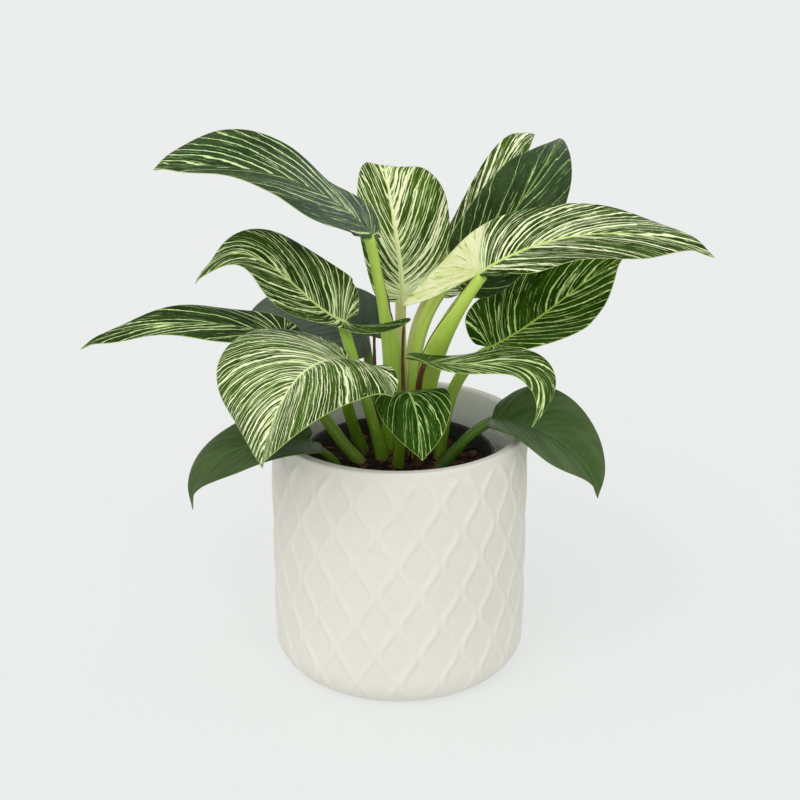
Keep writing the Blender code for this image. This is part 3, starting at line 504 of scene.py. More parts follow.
def between(values, share):
    """Values at shares of the length, eased between the evenly spaced ones given."""
    values = np.asarray(values, float)
    place = np.clip(share, 0.0, 1.0) * (len(values) - 1)
    i = np.minimum(place.astype(int), len(values) - 2)
    s = place - i
    ease = 0.5 * s + 0.5 * s * s * (3.0 - 2.0 * s)
    if values.ndim > 1:
        ease = ease[..., None]
    return values[i] * (1.0 - ease) + values[i + 1] * ease


def bend(knots, values, at):
    """Smooth values between hand-set ones, with no overshoot."""
    values = np.asarray(values, float)
    slopes = np.gradient(values, knots)
    i = np.clip(np.searchsorted(knots, at) - 1, 0, len(knots) - 2)
    span = knots[i + 1] - knots[i]
    s = (at - knots[i]) / span
    rise = values[i + 1] - values[i]
    first = np.where(rise == 0.0, 0.0, slopes[i] * span)
    last = np.where(rise == 0.0, 0.0, slopes[i + 1] * span)
    return (values[i] + first * s + (3.0 * rise - 2.0 * first - last) * s * s
            + (first + last - 2.0 * rise) * s * s * s)


# Blades

def half_of(leaf, left):
    """The numbers of the left or right half of a blade."""
    ending = "_left" if left else ""
    half = {key: leaf.get(key + ending, leaf[key]) for key in ("outline", "width", "fold", "lobe")}
    half["curl"] = leaf.get("curl" + ending, CURL)
    half["lift"] = leaf.get("lift" + ending, 0.0)
    return half


def edge_of(half, length, veins, sweep):
    """The margin's places on the flat blade in mm: along the midrib, out from it, and where the vein starts."""
    knots = np.linspace(0.0, 1.0, len(half["outline"]))
    along = bend(knots, [a * (half["lobe"] if a < 0.0 else 1.0) for a, b in half["outline"]], veins) * length
    out = bend(knots, [b for a, b in half["outline"]], veins) * half["width"]
    start = np.maximum(bend(knots, VEIN_STARTS, veins), 0.0) ** sweep[0] * length
    return along, out, start


def half_sheet(leaf, length, veins, k, left, sweep):
    """Middle surface of half a blade on a grid of veins and shares out along them, with its flat layout in mm."""
    half = half_of(leaf, left)
    edge_along, edge_out, start = (v[:, None] for v in edge_of(half, length, veins, sweep))
    k = k[None, :]
    middle = start + sweep[1] * (edge_along - start)
    along = (1 - k) ** 2 * start + 2 * k * (1 - k) * middle + k * k * edge_along
    out = 2 * k * (1 - k) * sweep[2] * edge_out + k * k * edge_out
    share = along / length
    centre, slope = cubic(leaf["path"])(np.maximum(share, 0.0))
    centre = centre + slope * np.minimum(share, 0.0)[..., None]
    tangent = unit(slope)
    up = unit(between([unit(f) for f in leaf["facing"]], share))
    side = unit(np.cross(tangent, up)) * (-1.0 if left else 1.0)
    up = unit(up - tangent * (up * tangent).sum(axis=-1, keepdims=True))
    angle = np.radians(between(half["fold"], share) + half["curl"] * (1.0 - out / half["width"]))
    lift = half["lift"] * (np.minimum(share, 0.0) / max(half["lobe"], 0.01)) ** 2
    places = centre + side * (out * np.cos(angle))[..., None] + up * (out * np.sin(angle) + lift)[..., None]
    facing = up * np.cos(angle)[..., None] - side * np.sin(angle)[..., None]
    return places, facing, along, out


def blade_sheet(leaf, veins, shares, sweep):
    """Both halves side by side: places, rough normals, and the flat layout in mm."""
    walk = cubic(leaf["path"])(np.linspace(0.0, 1.0, 41))[0]
    length = float(np.linalg.norm(np.diff(walk, axis=0), axis=1).sum())
    left = half_sheet(leaf, length, veins, shares[:0:-1], True, sweep)
    right = half_sheet(leaf, length, veins, shares, False, sweep)
    return [np.concatenate(pair, axis=1) for pair in zip(left, right)] + [length]


def even_veins(leaf, sweep):
    """Veins spaced so that the rows lie evenly along both the margin and the midrib."""
    fine = np.linspace(0.0, 1.0, 1200)
    run = 2.0 * fine
    for left in (True, False):
        along, out, start = edge_of(half_of(leaf, left), 100.0, fine, sweep)
        steps = np.hypot(np.diff(along), np.diff(out))
        run[1:] += np.cumsum(steps) / steps.sum() + start[1:] / 100.0
    return np.interp(np.arange(ROWS) / ROWS, run / run[-1], fine)


def sheet_normals(places, facing, tip):
    """Normals from the neighbours on the grid; the rough ones where these lie too close together."""
    long = np.concatenate([places[:1], places, np.repeat([[tip]], places.shape[1], axis=1)])
    wide = np.pad(places, ((0, 0), (1, 1), (0, 0)), "edge")
    normal = np.cross(wide[:, 2:] - wide[:, :-2], long[2:] - long[:-2])
    size = np.linalg.norm(normal, axis=-1, keepdims=True)
    trust = eased(size, 0.002, 0.05)
    normal = unit(normal / np.maximum(size, 1e-9) * trust + facing * (1.0 - trust))
    for _ in range(2):
        normal[1:-1] = unit(normal[:-2] + 2.0 * normal[1:-1] + normal[2:])
    return normal


def across_veins(along, out, half):
    """Distance from vein to vein, square to them and about 0.62 of the way out: it spaces the stripes evenly."""
    flat = np.stack([along, out], axis=-1)
    column = int(np.argmin(np.abs(half - 0.62)))
    vein_mm = np.zeros(along.shape)
    for way, part in ((-1, slice(0, SIDE_COLUMNS)), (1, slice(SIDE_COLUMNS, None))):
        c = SIDE_COLUMNS + way * column
        run = unit(flat[:, c + way] - flat[:, c - way])
        step = np.diff(flat[:, c], axis=0)
        apart = np.abs(step[:, 0] * run[1:, 1] - step[:, 1] * run[1:, 0])
        vein_mm[1:, part] = np.cumsum(apart)[:, None]
    return vein_mm


def build_blade(name, leaf, materials):
    """Thin blade with a sunken midrib, a round rib below it, shallow pleats along its veins and waved margins."""
    look = LOOKS[name]
    sweep = look.get("sweep", VEIN_SWEEP)
    veins = even_veins(leaf, sweep)
    # Columns lie closer together near the midrib
    half = (np.arange(SIDE_COLUMNS + 1) / SIDE_COLUMNS) ** 1.5
    across = np.concatenate([-half[:0:-1], half])
    columns = len(across)
    places, facing, along, out, length = blade_sheet(leaf, veins, half, sweep)
    tip = cubic(leaf["path"])(np.array([1.0]))[0][0]
    normal = sheet_normals(places, facing, tip)
    k = np.abs(across)[None, :] * np.ones((ROWS, 1))
    share = along / length
    vein_mm = across_veins(along, out, half)
    step = np.linalg.norm(np.diff(places, axis=1), axis=-1)
    walked = np.cumsum(np.pad(step, ((0, 0), (1, 0))), axis=1)
    from_rib = np.abs(walked - walked[:, SIDE_COLUMNS, None])
    to_edge = np.where(across > 0.0, walked[:, -1:] - walked, walked)

    height, count, begin = WAVES[name]
    side_shift = np.where(across >= 0.0, 0.0, 1.9)[None, :]
    wave = height * k ** 2.2 * np.sin(2 * math.pi * (count * veins[:, None] + side_shift) + begin * 2.0)
    wave *= eased(veins, 0.02, 0.2)[:, None] * (1.0 - eased(veins, 0.86, 1.0))[:, None]
    pleat = PLEAT_RISE * np.cos(2 * math.pi * vein_mm / PLEAT_WIDTH + 0.8 * side_shift) * eased(k, 0.04, 0.25)
    pleat *= (1.0 - eased(k, 0.75, 1.0)) * (1.0 - eased(share, 0.75, 0.97))
    middle = places + normal * (wave + pleat)[..., None]
    rib = 0.5 * look["rib_wide"] + 0.2
    rib_radius = np.maximum(rib * (1.0 - np.clip(share, 0.0, 1.0)) ** 0.8, 0.15)
    rib_mm = np.hypot(out, np.minimum(along, 0.0))
    groove = 0.35 * rib_radius * np.exp(-(rib_mm / (0.55 * rib_radius + 0.2)) ** 2)
    below_rib = 1.15 * rib_radius * np.sqrt(np.clip(1.0 - (rib_mm / (1.25 * rib_radius)) ** 2, 0.0, 1.0))
    thick = 0.5 * BLADE_THICK * (0.5 + 0.5 * eased(to_edge, 0.0, 1.6))
    top = middle + normal * (thick - groove)[..., None]
    low = middle - normal * (thick + below_rib)[..., None]

    # Corners of the top skin, the low skin and the two ends of the tip; then both skins and the rim between them
    tip_up = unit(normal[-1].mean(axis=0))
    corners = np.concatenate([top.reshape(-1, 3), low.reshape(-1, 3), [tip + tip_up * 0.2, tip - tip_up * 0.2]])
    under = ROWS * columns
    top_tip = 2 * under

    def below(i):
        return top_tip + 1 if i == top_tip else under + i

    grid = np.arange(under).reshape(ROWS, columns)
    quads = np.stack([grid[:-1, :-1], grid[:-1, 1:], grid[1:, 1:], grid[1:, :-1]], axis=-1)
    last = grid[-1].tolist()
    top_faces = quads.reshape(-1, 4).tolist() + [[a, b, top_tip] for a, b in zip(last, last[1:])]
    low_faces = [[below(i) for i in reversed(face)] for face in top_faces]
    rim = [*grid[:, 0].tolist(), top_tip, *grid[::-1, -1].tolist(), *grid[0, -2:0:-1].tolist()]
    rim_faces = [[a, b, below(b), below(a)] for a, b in zip(rim, rim[1:] + rim[:1])]
    slots = [0] * len(top_faces) + [1] * len(low_faces) + [0] * len(rim_faces)

    # Flat layout: the top skin on the left half of the map, the low skin on the right half
    wide = 2.2 * max(leaf["width"], leaf.get("width_left", 0.0))
    lobe = max(leaf["lobe"], leaf.get("lobe_left", 0.0)) * length
    flat_u = (np.where(across >= 0.0, 1.0, -1.0)[None, :] * out / wide + 0.5) * 0.46
    flat_v = (along + lobe) / (length + lobe) * 0.94
    on_top = np.stack([flat_u + 0.02, flat_v + 0.02], axis=-1).reshape(-1, 2)
    map_at = np.concatenate([on_top, on_top + (0.5, 0.0), [(0.25, 0.965), (0.75, 0.965)]])
    uvs = [map_at[face] for face in top_faces + low_faces]
    shifts = [(-0.003, 0.0)] * ROWS + [(0.003, 0.0)] * ROWS + [(0.0, -0.003)] * (columns - 1)
    uvs += [map_at[[a, b, b, a]] + np.array([(0.0, 0.0), (0.0, 0.0), shift, shift])
            for (a, b, _, _), shift in zip(rim_faces, shifts)]

    def mark(values, at_tip):
        flat = (np.asarray(values, float) * np.ones((ROWS, columns))).ravel()
        return np.concatenate([flat, flat, [at_tip, at_tip]])

    marks = {
        "vein": mark(vein_mm, vein_mm[-1].max() + 1.0), "across": mark(across[None, :], 0.0),
        "from_rib": mark(from_rib, 0.0), "rib_mm": mark(rib_mm, 0.0), "to_edge": mark(to_edge, 0.0),
        "share": mark(share, 1.0), "fan": mark(veins[:, None], 1.0),
    }
    slot = "dark_blade" if name in DARK_BLADES else "striped_blade"
    add_piece(name + "_blade_skin", name + "_blade", corners, top_faces + low_faces + rim_faces,
              materials, marks, slots, np.concatenate(uvs))


class FlatBlade:
    """A blade laid flat for its markings: mm across the veins and along them, with a seed of its own."""

    def __init__(self, g, seed):
        self.g = g
        self.seed = seed
        self.vein = g.attr("vein")
        self.run = g.attr("from_rib")
        self.across = g.attr("across")
        self.side = (self.across > 0.0) * HALVES_APART

    def noise(self, start, size, length, detail=1.0, vein=None):
        """Noise that is size mm across the veins and length mm along them."""
        vein = vein or self.vein
        place = self.g.xyz(vein / size, self.run / length, self.side + (self.seed + start))
        return self.g.noise(place, 1.0, detail)

    def swayed(self, start, far, near):
        """Place across the veins, bent so that what follows it wanders by up to far and near mm."""
        slow = self.noise(start + 11.0, 7.0, 26.0) - 0.5
        quick = self.noise(start + 17.0, 2.2, 5.0) - 0.5
        return self.vein + (slow * far + quick * near)

    def lines(self, start, gap, wide, much, sway):
        """Lines along the side veins: each has its own width, strength and length."""
        g = self.g
        place = self.swayed(start, sway, 0.4 * sway) / gap
        number = g.do("FLOOR", place)
        chance_wide, chance_shown, chance_long = g.chance(g.xyz(number, self.side, self.seed + start))
        away = abs(g.do("FRACT", place) - 0.5) * gap
        width = g.spread(g.do("POWER", chance_wide, 2.0), *wide)
        taper = g.spread(g.step(abs(self.across), 0.0, g.spread(chance_long, 0.7, 1.8)), 1.3, 0.6)
        fray = g.spread(self.noise(start + 3.0, 1.0, 9.0, 2.0), 0.5, 1.5)
        half = width * taper * fray * 0.5
        line = g.step(away, half + 0.12, half - 0.12)
        return line * g.step(chance_shown, 0.98 - much, 1.08 - much)


def paint_stripes(g, flat, look, share, rib_mm, slow, quick):
    """Brush-like cream streaks along the veins, lines broken and clear, and pale nicks."""
    cream, light = look["cream"], look["green"][1]
    lime = tuple(0.50 * c + 1.3 * l for c, l in zip(cream, light))
    paler = tuple(min(0.95, 1.08 * c + 0.03) for c in cream)
    place = flat.swayed(0.0, 4.0, 1.0)
    bands = flat.noise(21.0, 4.5, 55.0, vein=place)
    brush = flat.noise(33.0, 1.0, 34.0, vein=place)
    hairs = flat.noise(47.0, 0.48, 13.0, vein=place)
    near_rib = g.step(rib_mm, 1.0 + 2.2 * look["rib_wide"], 0.4 * look["rib_wide"])
    paint = bands * 0.24 + brush * 0.46 + hairs * 0.30 + near_rib * (0.02 + 0.09 * look["cover"])
    paint += g.step(share, 0.25, 0.0) * look.get("base", 0.03)
    paint -= g.step(abs(flat.across), 0.55, 1.0) * 0.02
    painted = 1.0
    if "bare" in look:
        where, low, high = look["bare"]
        bare = g.step(share, high, low)
        if where == "left":
            bare = bare * (flat.across < 0.0)
        painted = 1.0 - bare * 0.85
        paint -= bare * 0.1
    level = 0.530 + 0.25 * (0.46 - look["cover"])
    g.coat(g.step(paint, level - 0.035, level - 0.005) * 0.35, lime)
    streak = g.mix(g.step(slow, 0.40, 0.66), cream, g.mix(g.step(quick, 0.45, 0.65), cream, lime))
    g.coat(g.step(paint, level - 0.010, level + 0.018), streak)
    start = 0.58 - 0.26 * look["fine"]
    broken = g.step(flat.noise(91.0, 1.4, 12.0, 2.0), start, start + 0.18)
    fine = flat.lines(80.0, 0.47 * look["gap"], (0.36, 0.72), 0.9, 2.0)
    g.coat(fine * broken * 0.8 * painted, g.mix(g.step(slow, 0.4, 0.6), cream, lime))
    lines = flat.lines(60.0, look["gap"], look["wide"], look["lines"], 3.4)
    g.coat(lines * painted, g.mix(g.step(brush, 0.35, 0.62), cream, paler))
    nicks = g.cells(g.xyz(flat.vein / 1.7, flat.run / 3.4, flat.seed))
    g.coat(g.step(nicks, 0.20, 0.11) * g.step(bands, 0.40, 0.55) * 0.5, lime)


def paint_patch(g, flat, look, slow):
    """All but white stretch at the base of one half, with a few green flecks."""
    where, reach = look["patch"]
    on_side = flat.across < 0.0 if where == "left" else flat.across > 0.0
    fan = g.attr("fan") + (slow - 0.5) * 0.10
    flecks = flat.noise(2.0, 0.9, 9.0, 3.0)
    pale = g.mix(g.step(slow, 0.40, 0.66), (0.74, 0.75, 0.45), (0.64, 0.65, 0.28))
    pale = g.mix(g.step(flecks, 0.50, 0.60) * 0.60, pale, (0.42, 0.55, 0.12))
    pale = g.mix(g.step(flecks, 0.62, 0.68) * 0.75, pale, (0.20, 0.30, 0.04))
    g.coat(g.step(fan, reach + 0.02, reach - 0.02) * on_side, pale)


def top_material(name):
    look = LOOKS[name]
    g = Graph(name + "_top")
    flat = FlatBlade(g, int(name[-2:]) * 7.31)
    rib_mm = g.attr("rib_mm")
    share = g.attr("share")
    dark, light = look["green"]
    slow = flat.noise(0.0, 7.0, 22.0, 2.0)
    quick = flat.noise(9.0, 1.1, 7.0, 2.0)
    g.colour = g.mix(g.step(slow, 0.35, 0.68), dark, light)
    g.coat(g.step(quick, 0.50, 0.75) * 0.45, light)
    if "painted_sheen" in look:
        low, high, strength = look["painted_sheen"]
        # Painted sheen: a grey coat stands in for the wax reflecting the pale surroundings
        g.coat(g.step(share + (slow - 0.5) * 0.25, low, high) * strength, (0.130, 0.175, 0.150))
    if look["cover"] > 0.0:
        paint_stripes(g, flat, look, share, rib_mm, slow, quick)
    if "patch" in look:
        paint_patch(g, flat, look, slow)
    rib_half = g.spread(g.step(share, 0.0, 1.0), 0.5 * look["rib_wide"], 0.12)
    g.coat(g.step(rib_mm + (quick - 0.5) * 1.2, rib_half + 0.45, rib_half - 0.25), look["rib"])
    g.coat(g.step(rib_mm, rib_half * 0.55, 0.0) * 0.35, scaled(look["rib"], 0.75))
    margin = (0.40, 0.52, 0.15) if look["cover"] > 0.0 else (0.10, 0.16, 0.04)
    uneven = flat.noise(5.0, 3.0, 9.0)
    g.coat(g.step(g.attr("to_edge"), uneven + 0.15, uneven * 0.5) * 0.8, margin)
    grain = flat.noise(27.0, 0.35, 2.4, 3.0)
    rough = g.spread(g.noise(g.spot(), 0.06, 3.0), 0.34, 0.50)
    return g.finish(rough, look["gloss"], quick * 0.8 + grain * 0.5, 0.00035, 0.5)


def under_material(name):
    look = LOOKS[name]
    g = Graph(name + "_under")
    vein = g.attr("vein")
    across = g.attr("across")
    place = (across > 0.0) * HALVES_APART + int(name[-2:]) * 3.7
    streak = g.noise(g.xyz(vein * 0.45, abs(across) * 2.4, place), 1.0, 2.0)
    fine = g.noise(g.xyz(vein * 1.6, abs(across) * 6.0, place), 1.0, 2.0)
    green = scaled(look["green"][1], 0.7)
    dim = tuple(c + more for c, more in zip(green, (0.030, 0.060, 0.012)))
    pale = tuple(c + more for c, more in zip(green, (0.075, 0.125, 0.035)))
    g.colour = g.mix(g.step(streak, 0.35, 0.68), dim, pale)
    if look["cover"] > 0.0:
        g.coat(g.step(fine, 0.55, 0.70) * (0.25 + 0.7 * look["cover"]), scaled(look["cream"], 0.62))
    g.coat(g.step(g.attr("rib_mm"), 1.6, 0.7), (0.26, 0.38, 0.08))
    return g.finish(g.spread(streak, 0.5, 0.62), 0.3, fine, 0.0003, 0.5)


# Stalks

def stalk_run(leaf):
    """Places, directions, radii and rise of a stalk from its foot in the soil to the blade, and its last facing."""
    base, slope = cubic(leaf["path"])(np.array([0.0]))
    base = base[0]
    along = unit(slope[0])
    facing = np.asarray(leaf["facing"][0], float)
    up = unit(facing - along * np.dot(facing, along))
    way = unit(base - np.asarray(leaf["stalk"][-1], float))
    upright = leaf["lobe"] == 0.0 and np.dot(way, up) < 0.5
    end = base - way * 0.6 if upright else base - up * 1.6 + along * 1.0
    shares = np.linspace(0.0, 1.0, STALK_RINGS)
    places, slopes = cubic(leaf["stalk"] + [tuple(end)])(shares)
    # Below the soil the stalk runs on more steeply
    down = unit(slopes[0] * STEEPER)
    foot = [places[0] - down * d for d in (FOOT_DEPTH, 7.0, 2.0)]
    places = np.concatenate([foot, places[1:]])
    slopes = np.concatenate([[down, down, down], slopes[1:]])
    r0, r1 = leaf["radius"]
    rise = np.concatenate([[0.0, 0.0, 0.0], shares[1:]])
    return places, unit(slopes), r0 + (r1 - r0) * rise ** 0.7, rise, facing


def build_stalk(name, leaf, material):
    """Stalk with a shallow channel on the side that faces the plant, a clasping foot, and an open sheath."""
    places, along, radii, rise, facing = stalk_run(leaf)
    count = len(places)
    inward = unit((CROWN[0], CROWN[1], 0.0) - places * (1, 1, 0) + (0.0, 0.0, 1.0))
    inward = inward * (1.0 - rise)[:, None] + unit(facing) * rise[:, None]
    up = unit(inward - along * (inward * along).sum(axis=1)[:, None])
    side = np.cross(along, up)
    turn = turns(STALK_SIDES)
    from_top = turn - 0.5 * math.pi
    dip = np.exp(-(from_top / 0.42) ** 2)
    lips = np.exp(-((from_top - 0.75) / 0.25) ** 2) + np.exp(-((from_top + 0.75) / 0.25) ** 2)
    way = math.copysign(1.0, leaf["wing"][0]) if "wing" in leaf else 1.0
    shape = 1.0 + 0.05 * np.cos(2.0 * turn) + 0.05 * lips - (0.10 + 0.12 * eased(rise, 0.1, 0.8))[:, None] * dip
    size = radii * (1.0 + 0.10 * np.exp(-rise / 0.08)) * (1.0 + 0.015 * np.sin(9.0 * rise + radii[0]))
    reach = shape * size[:, None]
    rings = (places[:, None] + side[:, None] * (reach * np.cos(turn))[..., None]
             + up[:, None] * (reach * np.sin(turn))[..., None])
    out = np.maximum((rings[..., 0] - places[:, :1]) * way / radii[:, None], 0.0)
    if "wing" in leaf:
        wide, begin, full, narrow, end = leaf["wing"]
        rings[..., 0] += (wide * eased(rise, begin, full) * (1.0 - eased(rise, narrow, end)))[:, None] * out
    marks = {"rise": np.repeat(rise, STALK_SIDES), "face_in": np.tile(np.sin(turn), count),
             "edge_side": np.tile(np.cos(turn), count), "lip_side": (out / out.max(axis=1)[:, None]).ravel()}
    slot = "stalk_tan" if name in TAN_STALKS else "stalk_green"
    add_piece(name + "_stalk_skin", name + "_stalk", rings.reshape(-1, 3),
              tube_faces(count, STALK_SIDES), [material], marks)


def stalk_material(name):
    """Green stalk, darker at the foot, with fine streaks along it; dry: the stretch with a red-brown edge."""
    low, high, dry = STALK_TINTS[name]
    seed = int(name[-2:]) * 2.3
    g = Graph(name + "_stalk")
    rise = g.attr("rise")
    edge = g.attr("edge_side")
    face_in = g.attr("face_in")
    streak = g.noise(g.xyz(rise * 2.0, edge * 9.0, face_in * 9.0), 1.0, 3.0)
    blotch = g.noise(g.xyz(rise * 7.0, edge * 1.5, face_in + seed), 1.0, 2.0)
    darker = scaled(low, 0.72)
    lighter = tuple(min(1.0, 1.18 * c + 0.02) for c in high)
    g.colour = g.mix(g.step(rise, 0.0, 0.85), low, high)
    g.coat(g.step(streak, 0.42, 0.66) * 0.16, darker)
    g.coat(g.step(blotch, 0.5, 0.75) * 0.35, lighter)
    g.coat(g.step(face_in, 0.55, 0.98) * 0.25, lighter)
    g.coat(g.step(rise + blotch * 0.07, 0.100, 0.045) * 0.65, (0.19, 0.135, 0.045))
    freckles = g.cells(g.xyz(rise * 46.0, edge * 5.0, face_in * 5.0))
    g.coat(g.step(freckles, 0.12, 0.05) * 0.35, darker)
    if dry:
        ragged = g.noise(g.xyz(rise * 22.0, 0.0, seed), 1.0, 3.0)
        strip = g.step(g.attr("lip_side") + ragged * 0.06, 0.955, 0.985)
        strip = strip * g.step(rise, dry[0], dry[0] + 0.08) * g.step(rise, dry[1], dry[1] - 0.08)
        g.coat(strip, g.mix(ragged, (0.10, 0.030, 0.012), (0.26, 0.11, 0.04)))
    return g.finish(g.spread(streak, 0.34, 0.48), 0.4, streak + blotch * 0.3, 0.0003, 0.3)


# Dried sheaths and crown

def build_sheath(name, sheath, material):
    """Papery strip, curved across and ragged at its tip."""
    shares = np.linspace(0.0, 1.0, 60)
    places, slopes = cubic(sheath["path"])(shares)
    down = unit(slopes[0] * STEEPER)
    places = np.concatenate([[places[0] - down * 7.0], places])
    slopes = unit(np.concatenate([[down], slopes]))
    shares = np.concatenate([[0.0], shares])
    seed = random.Random(name).uniform(0.0, 50.0)
    sides = 20
    half = sides // 2
    low, high = sheath["width"]
    from_middle = np.linspace(-1.0, 1.0, half)
    around = [(s, 0.16) for s in from_middle] + [(s, -0.16) for s in from_middle[::-1]]
    corners = []
    for place, along, share in zip(places, slopes, shares):
        twist = 0.5 * math.sin(2.6 * share + seed)
        face = unit(np.cross(along, (math.cos(twist), math.sin(twist), 0.02)))
        side = np.cross(along, face)
        width = (low + (high - low) * share) * (1.0 + 0.18 * rough_at(share * 14.0, seed, 0.0))
        width *= 1.0 - 0.75 * float(eased(share, 0.93, 1.0))
        for s, thick in around:
            curve = 0.175 * width * (1.0 - s * s) - 0.1 * width
            ripple = 0.18 * rough_at(share * 22.0, s * 1.5, seed)
            corners.append(place + side * s * 0.5 * width + face * (curve + ripple + thick))
    marks = {"rise": np.repeat(shares, sides), "turn": np.tile(np.arange(sides) / sides, len(shares))}
    add_piece(name + "_skin", name, corners, tube_faces(len(shares), sides), [material], marks)


def sheath_material():
    g = Graph("dried_sheath_paper")
    streak = g.noise(g.xyz(g.attr("rise") * 5.0, g.attr("turn") * 26.0, 0.0), 1.0, 3.0)
    patch = g.noise(g.spot(), 0.09, 3.0)
    g.colour = g.mix(g.step(streak, 0.35, 0.65), (0.060, 0.021, 0.009), (0.19, 0.080, 0.034))
    g.coat(g.step(patch, 0.5, 0.7) * 0.45, (0.36, 0.22, 0.10))
    return g.finish(g.spread(patch, 0.6, 0.85), 0.3, streak, 0.0008, 0.6)


def build_crown(material):
    """Short stem under layers of old leaf bases."""
    sides, rings = 40, 30
    deep = 14.0
    corners = []
    for share in np.arange(rings) / (rings - 1):
        z = SOIL_TOP - deep + (CROWN_RISE + deep) * share
        radius = CROWN_RADIUS * (1.0 - 0.55 * float(eased(share, 0.72, 1.0)))
        for turn in turns(sides):
            x, y = math.cos(turn), math.sin(turn)
            layer = (3.0 * share + turn / (2.0 * math.pi)) % 1.0
            r = radius * (0.92 + 0.08 * layer) + 0.25 * rough_at(x * 2, y * 2, z * 0.3)
            corners.append((CROWN[0] + r * x, CROWN[1] + r * y, z))
    add_piece("crown_skin", "crown", corners, tube_faces(rings, sides), [material])


def crown_material():
    g = Graph("crown_bark")
    rough = g.noise(g.spot(), 0.35, 3.0)
    g.colour = g.mix(g.step(rough, 0.4, 0.62), (0.20, 0.24, 0.04), (0.38, 0.26, 0.09))
    g.coat(g.step(g.cells(g.spot(), 0.9), 0.22, 0.12), (0.20, 0.045, 0.015))
    return g.finish(0.6, 0.4, rough, 0.0008, 0.6)


# Cover pot

def rib_height(turn_deg, height):
    """Height of the raised net at a turn from the front and a height, from 0 to 1."""
    pitch = 180.0 / CELLS_ROUND
    phase = 2.0 * math.pi * (height - PINCH_HEIGHT) / CELL_HEIGHT
    swing = RIB_SWING * pitch * np.cos(phase)
    start = PINCH_ANGLE - 0.5 * pitch
    mm = math.radians(1.0) * POT_RADIUS
    slant = 1.0 / np.sqrt(1.0 + (RIB_SWING * pitch * mm * 2.0 * math.pi / CELL_HEIGHT) ** 2 * np.sin(phase) ** 2)
    bare = 1.0
    for kind, sign in ((0.0, 1.0), (1.0, -1.0)):
        away = (turn_deg - start - kind * pitch - sign * swing) / (2.0 * pitch)
        away = np.abs(away - np.round(away)) * 2.0 * pitch * mm
        bare = bare * (1.0 - np.exp(-(away * slant / RIB_REACH) ** 2.4))
    return 1.0 - bare


def pot_rows():
    """The pot's profile from the underside over the rim and down inside: radius, height, and the way it faces."""
    outer, inner, top = POT_RADIUS, POT_RADIUS - POT_WALL, POT_HEIGHT
    base = outer - FOOT_REACH
    rows = [(base - 22.0, 0.35, 0.0, -1.0), (base - 6.0, 0.1, 0.0, -1.0), (base - 1.0, 0.0, 0.0, -1.0)]
    for a in 0.5 * math.pi * np.arange(1, 19) / 18:
        rows.append((base + FOOT_REACH * math.sin(a), FOOT_RISE * (1.0 - math.cos(a)), math.sin(a), -math.cos(a)))
    rows += [(outer, height, 1.0, 0.0) for height in np.linspace(FOOT_RISE + 1.3, top - 2.2, 100)]
    quarter = 0.5 * math.pi * np.arange(7) / 6
    rows += [(outer - 1.5 + 1.5 * math.cos(a), top - 1.5 + 1.5 * math.sin(a), 0.0, 0.0) for a in quarter]
    rows += [(inner + 1.8 - 1.8 * math.sin(a), top - 1.8 + 1.8 * math.cos(a), 0.0, 0.0) for a in quarter]
    within = [(inner, 155.0), (inner, 140.0), (inner, 110.0), (inner, 60.0), (inner, POT_FLOOR + 14.0),
              (inner, POT_FLOOR + 8.0), (inner - 1.0, POT_FLOOR + 4.0), (inner - 4.0, POT_FLOOR + 1.0),
              (inner - 9.0, POT_FLOOR), (20.0, POT_FLOOR)]
    return rows + [(radius, height, 0.0, 0.0) for radius, height in within]


def build_cover_pot(material):
    """Turned pot with the net of wavy ribs raised on its outer side."""
    columns = CELLS_ROUND * CELL_COLUMNS
    rad = turns(columns)
    rows = pot_rows()
    corners, net, inside = [], [], []
    for radius, height, out, down in rows:
        fade = float(eased(height, RIB_BOTTOM - 3.0, RIB_BOTTOM + 11.0)
                     * (1.0 - eased(height, RIB_TOP - 7.0, RIB_TOP)))
        raised = rib_height(np.degrees(rad), height) * fade if (out or down) else np.zeros(columns)
        lift = RIB_RISE * raised
        if out > 0.5:
            uneven = [rough_at(math.cos(a) * 2.3, math.sin(a) * 2.3, height * 0.03) for a in rad]
            lift = lift + 0.12 * np.array(uneven)
        r = radius + lift * out
        z = np.maximum(height + lift * down, 0.0)
        corners.append(np.stack([r * np.sin(rad), -r * np.cos(rad), z], axis=-1))
        # The net's height is kept as a mark too; the glaze uses it for painted shade in the sunken cells
        net.append(raised)
        # Rows of the inner wall, which the glaze paints far paler as painted light on the shaded inside
        painted_light_row = out == 0.0 and down == 0.0 and radius < POT_RADIUS - POT_WALL + 0.5
        inside.append(np.full(columns, float(painted_light_row)))
    add_piece("cover_pot_glaze", "cover_pot", np.concatenate(corners), tube_faces(len(rows), columns),
              [material], {"net": np.concatenate(net), "inside": np.concatenate(inside)})


def pot_material():
    g = Graph("matt_glaze")
    cloud = g.noise(g.spot(), 0.018, 3.0)
    mottle = g.noise(g.spot(), 0.11, 4.0, 0.6)
    fine = g.noise(g.spot(), 1.6, 3.0, 0.6)
    dots = g.step(g.cells(g.spot(), 0.55), 0.07, 0.03) * 0.25
    g.colour = g.mix(g.step(cloud, 0.35, 0.65), (0.722, 0.697, 0.620), (0.735, 0.708, 0.648))
    g.coat(g.step(mottle, 0.45, 0.7) * 0.35, (0.700, 0.668, 0.588))
    # Painted shade: the raised net is painted paler than the sunken cells, standing in for the shade in the cells
    g.coat(g.attr("net") * 0.26, (0.785, 0.765, 0.705))
    # Painted light: the inner wall is the same glaze, painted far paler to stand in for light reaching the shaded
    # inside
    g.coat(g.attr("inside"), (0.930, 0.930, 0.910))
    g.coat(dots, (0.60, 0.56, 0.48))
    return g.finish(g.spread(mottle, 0.52, 0.66), 0.35, fine * 0.6 + mottle * 1.2 - dots * 2.0, 0.0003, 0.35)


# Grow pot and soil

